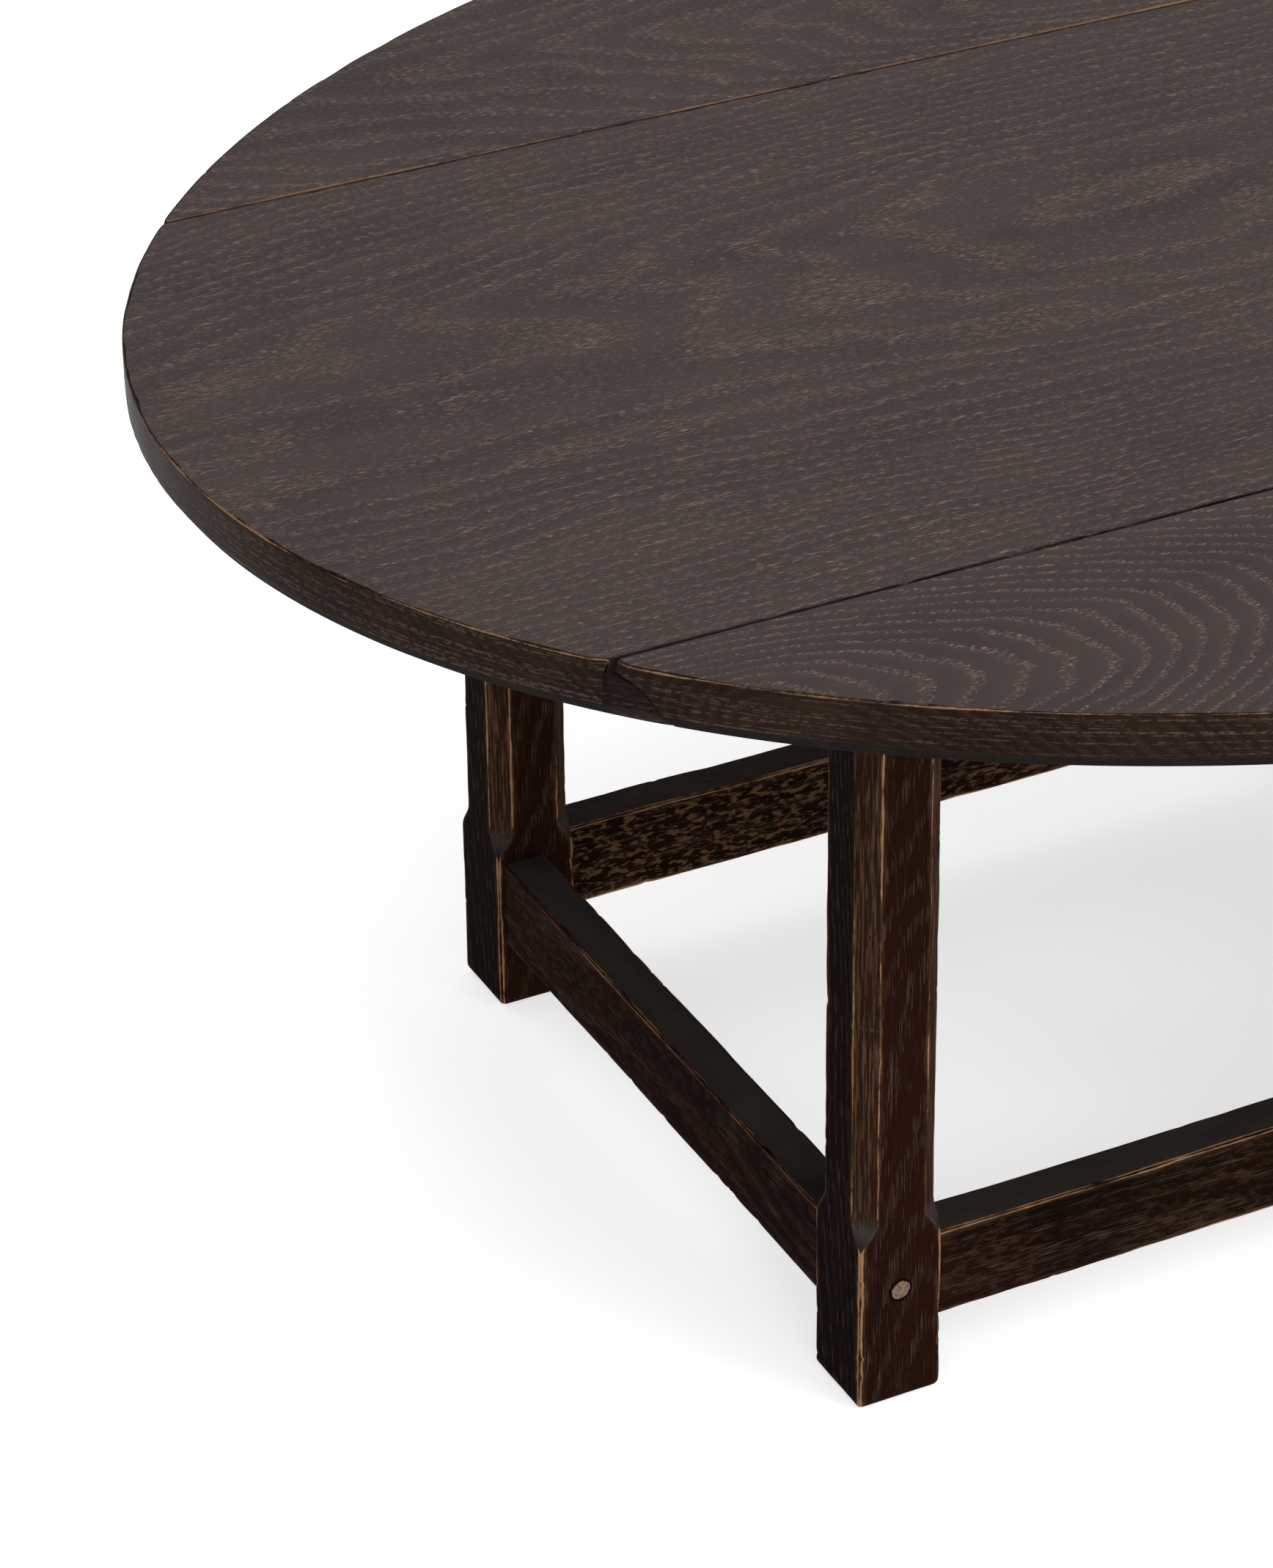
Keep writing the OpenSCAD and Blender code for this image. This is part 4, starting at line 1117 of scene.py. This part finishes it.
class TABLE_OT_pegs(bpy.types.Operator):
    """Build the pegs of the frame, cut a little proud and slightly out of round"""

    bl_idname = "table.pegs"
    bl_label = "Frame pegs"

    def execute(self, context):
        low, high = corners("frame_pegs")
        radius = PEG_RADIUS
        turn = np.linspace(0, 2 * np.pi, 40, endpoint=False)
        rings = []
        for number, (sx, sy, z) in enumerate(
            (sx, sy, z) for sx in (-1, 1) for sy in (-1, 1) for z in (low[2] + radius, high[2] - radius)
        ):
            rings.append(self.peg(number, sx * (high[0] - radius), sy, high[1], z, radius, turn))
        piece = join_rings("frame_pegs_worn", rings)
        dress(piece, peg_material(), "frame_pegs")
        return {"FINISHED"}

    def peg(self, number, x, side, outer, z, radius, turn):
        """Rings of one peg: its radius wanders by a twentieth round it, and its end is slightly domed."""
        away = np.array([20, 2, 0.35, 0.12, 0, 0.02, 0.05, 0.06]) * MM
        share = np.array([0.96, 0.97, 0.97, 0.94, 0.86, 0.6, 0.3, 0.02])
        wobble = 1 + 0.05 * np.sin(2 * turn + number) + 0.03 * np.sin(5 * turn + 2.0 * number)
        y = side * (outer + 0.25 * MM - away)[:, None] + 0 * turn
        px = x + radius * share[:, None] * wobble * np.cos(turn)
        pz = z + radius * share[:, None] * wobble * np.sin(turn)
        return np.stack([px, y, pz], -1)


def join_rings(name, groups):
    """One object from several closed ring grids."""
    parts = [grid_mesh(f"{name}_{k}", points, {}) for k, points in enumerate(groups)]
    shape = bmesh.new()
    for part in parts:
        shape.from_mesh(part.data)
    bmesh.ops.recalc_face_normals(shape, faces=shape.faces)
    mesh = bpy.data.meshes.new(name)
    shape.to_mesh(mesh)
    shape.free()
    for part in parts:
        old = part.data
        bpy.data.objects.remove(part)
        bpy.data.meshes.remove(old)
    mesh.polygons.foreach_set("use_smooth", np.ones(len(mesh.polygons), dtype=bool))
    obj = bpy.data.objects.new(name, mesh)
    bpy.context.scene.collection.objects.link(obj)
    return obj


class TABLE_OT_ironwork(bpy.types.Operator):
    """Finish the pieces kept from the frame: hinges, pins, screws, buttons, stop blocks and gate pegs"""

    bl_idname = "table.ironwork"
    bl_label = "Ironwork and small parts"

    def execute(self, context):
        colours = context.scene.table_colours
        hinge = iron_material("iron_hinge", tuple(colours.iron), 0.55, 0.6, 0.5)
        steel = iron_material("steel_dull", (0.16, 0.155, 0.15), 0.42, 0.9, 0.25)
        pale = frame_oak("oak_small_parts", 0, 9.3, heart=(0.1, 0.4), worn=0.0)
        pale_peg = peg_material()
        for name, obj in frame["nodes"].items():
            if name.startswith("plate_"):
                finish = hinge
            elif name in ("hinge_pins", "gate_pivots", "button_screws") or name.startswith("screws"):
                finish = steel
            elif name.startswith("gate_pegs"):
                finish = pale_peg
            elif name in ("buttons", "stops_front", "stops_back"):
                finish = pale
            else:
                continue
            obj.data.materials.clear()
            obj.data.materials.append(finish)
        return {"FINISHED"}


class TABLE_OT_studio(bpy.types.Operator):
    """Set up the pale floor, the soft light and the camera"""

    bl_idname = "table.studio"
    bl_label = "Studio"

    def execute(self, context):
        studio = context.scene.table_studio
        self.floor(context)
        self.dome(context, studio)
        self.lights(context)
        self.camera(context, studio)
        context.scene.view_settings.view_transform = "Standard"
        context.scene.view_settings.look = "None"
        return {"FINISHED"}

    def floor(self, context):
        mesh = bpy.data.meshes.new("studio_floor")
        r = 14.0
        mesh.from_pydata([(-r, -r, 0), (r, -r, 0), (r, r, 0), (-r, r, 0)], [], [(0, 1, 2, 3)])
        floor = bpy.data.objects.new("studio_floor", mesh)
        context.scene.collection.objects.link(floor)
        s = Shade("studio_floor")
        s.surface.inputs["Base Color"].default_value = (0.93, 0.93, 0.93, 1)
        s.surface.inputs["Roughness"].default_value = 0.9
        s.surface.inputs["Specular IOR Level"].default_value = 0.0
        s.surface.inputs["Emission Color"].default_value = (1, 1, 1, 1)
        s.surface.inputs["Emission Strength"].default_value = 0.60
        mesh.materials.append(s.material)

    def dome(self, context, studio):
        """A light dome: bright overhead, with a wide soft patch at the front right, dimmer on the left."""
        world = bpy.data.worlds.new("studio_dome")
        context.scene.world = world
        world.use_nodes = True
        tree = world.node_tree
        tree.nodes.clear()
        place = tree.nodes.new("ShaderNodeTexCoord").outputs["Generated"]
        overhead = self.lobe(tree, place, (0, 0, 1), (0.05, 0.80), (0.45 * studio.dome, studio.dome))
        patch = self.lobe(tree, place, (0.50, -0.62, 0.60), (0.35, 0.97), (0, 0.8 * studio.dome))
        dim = self.lobe(tree, place, (-1, 0.1, 0), (0.0, 1.0), (1, 0.45))
        total = tree.nodes.new("ShaderNodeMath")
        total.operation = "ADD"
        tree.links.new(overhead, total.inputs[0])
        tree.links.new(patch, total.inputs[1])
        scaled = tree.nodes.new("ShaderNodeMath")
        scaled.operation = "MULTIPLY"
        tree.links.new(total.outputs[0], scaled.inputs[0])
        tree.links.new(dim, scaled.inputs[1])
        back = tree.nodes.new("ShaderNodeBackground")
        out = tree.nodes.new("ShaderNodeOutputWorld")
        tree.links.new(scaled.outputs[0], back.inputs["Strength"])
        tree.links.new(back.outputs[0], out.inputs["Surface"])

    def lobe(self, tree, place, toward, span, level):
        """Brightness that changes smoothly with the cosine of the angle from one direction."""
        dot = tree.nodes.new("ShaderNodeVectorMath")
        dot.operation = "DOT_PRODUCT"
        tree.links.new(place, dot.inputs[0])
        dot.inputs[1].default_value = Vector(toward).normalized()
        ramp = tree.nodes.new("ShaderNodeMapRange")
        ramp.interpolation_type = "SMOOTHSTEP"
        ramp.inputs["From Min"].default_value, ramp.inputs["From Max"].default_value = span
        ramp.inputs["To Min"].default_value, ramp.inputs["To Max"].default_value = level
        tree.links.new(dot.outputs["Value"], ramp.inputs["Value"])
        return ramp.outputs[0]

    def lights(self, context):
        for name, place, size, power in (("soft_right", (1.4, -3.0, 1.7), 1.4, 22),):
            light = bpy.data.lights.new(name, "AREA")
            light.shape = "DISK"
            light.size = size
            light.energy = power
            obj = bpy.data.objects.new(name, light)
            context.scene.collection.objects.link(obj)
            aim = Vector((-0.2, 0, 0.25)) - Vector(place)
            turn = aim.to_track_quat("-Z", "Y").to_matrix().to_4x4()
            obj.matrix_world = Matrix.Translation(place) @ turn

    def camera(self, context, studio):
        data = bpy.data.cameras.new("view")
        data.sensor_fit = "VERTICAL"
        data.sensor_height = 36
        data.lens = studio.lens
        data.shift_x = studio.side_shift
        data.clip_end = 60
        camera = bpy.data.objects.new("view", data)
        context.scene.collection.objects.link(camera)
        az, el = studio.azimuth, studio.elevation
        away = Vector((-math.sin(az) * math.cos(el), -math.cos(az) * math.cos(el), math.sin(el)))
        place = Vector(studio.aim) + away * studio.distance
        turn = away.to_track_quat("Z", "Y").to_matrix().to_4x4()
        camera.matrix_world = Matrix.Translation(place) @ turn
        context.scene.camera = camera


class TABLE_PT_panel(bpy.types.Panel):
    """Sizes, colours and the buttons that build the table"""

    bl_idname = "TABLE_PT_panel"
    bl_label = "Gateleg table"
    bl_space_type = "VIEW_3D"
    bl_region_type = "UI"
    bl_category = "Table"

    def draw(self, context):
        for group in (context.scene.table_sizes, context.scene.table_colours, context.scene.table_studio):
            box = self.layout.box()
            for key in group.__annotations__:
                box.prop(group, key)
        for operator in OPERATORS:
            self.layout.operator(operator.bl_idname)


OPERATORS = (
    TABLE_OT_centre_board,
    TABLE_OT_leaves,
    TABLE_OT_legs,
    TABLE_OT_long_rails,
    TABLE_OT_end_rails,
    TABLE_OT_gates,
    TABLE_OT_pegs,
    TABLE_OT_ironwork,
    TABLE_OT_studio,
)
CLASSES = (TableSizes, TableColours, StudioSettings, *OPERATORS, TABLE_PT_panel)


def register():
    for cls in CLASSES:
        bpy.utils.register_class(cls)
    bpy.types.Scene.table_sizes = PointerProperty(type=TableSizes)
    bpy.types.Scene.table_colours = PointerProperty(type=TableColours)
    bpy.types.Scene.table_studio = PointerProperty(type=StudioSettings)


def unregister():
    del bpy.types.Scene.table_studio
    del bpy.types.Scene.table_colours
    del bpy.types.Scene.table_sizes
    for cls in reversed(CLASSES):
        bpy.utils.unregister_class(cls)


def main():
    register()
    bpy.ops.table.centre_board()
    bpy.ops.table.leaves()
    bpy.ops.table.legs()
    bpy.ops.table.long_rails()
    bpy.ops.table.end_rails()
    bpy.ops.table.gates()
    bpy.ops.table.pegs()
    bpy.ops.table.ironwork()
    bpy.ops.table.studio()


if __name__ == "__main__":
    main()
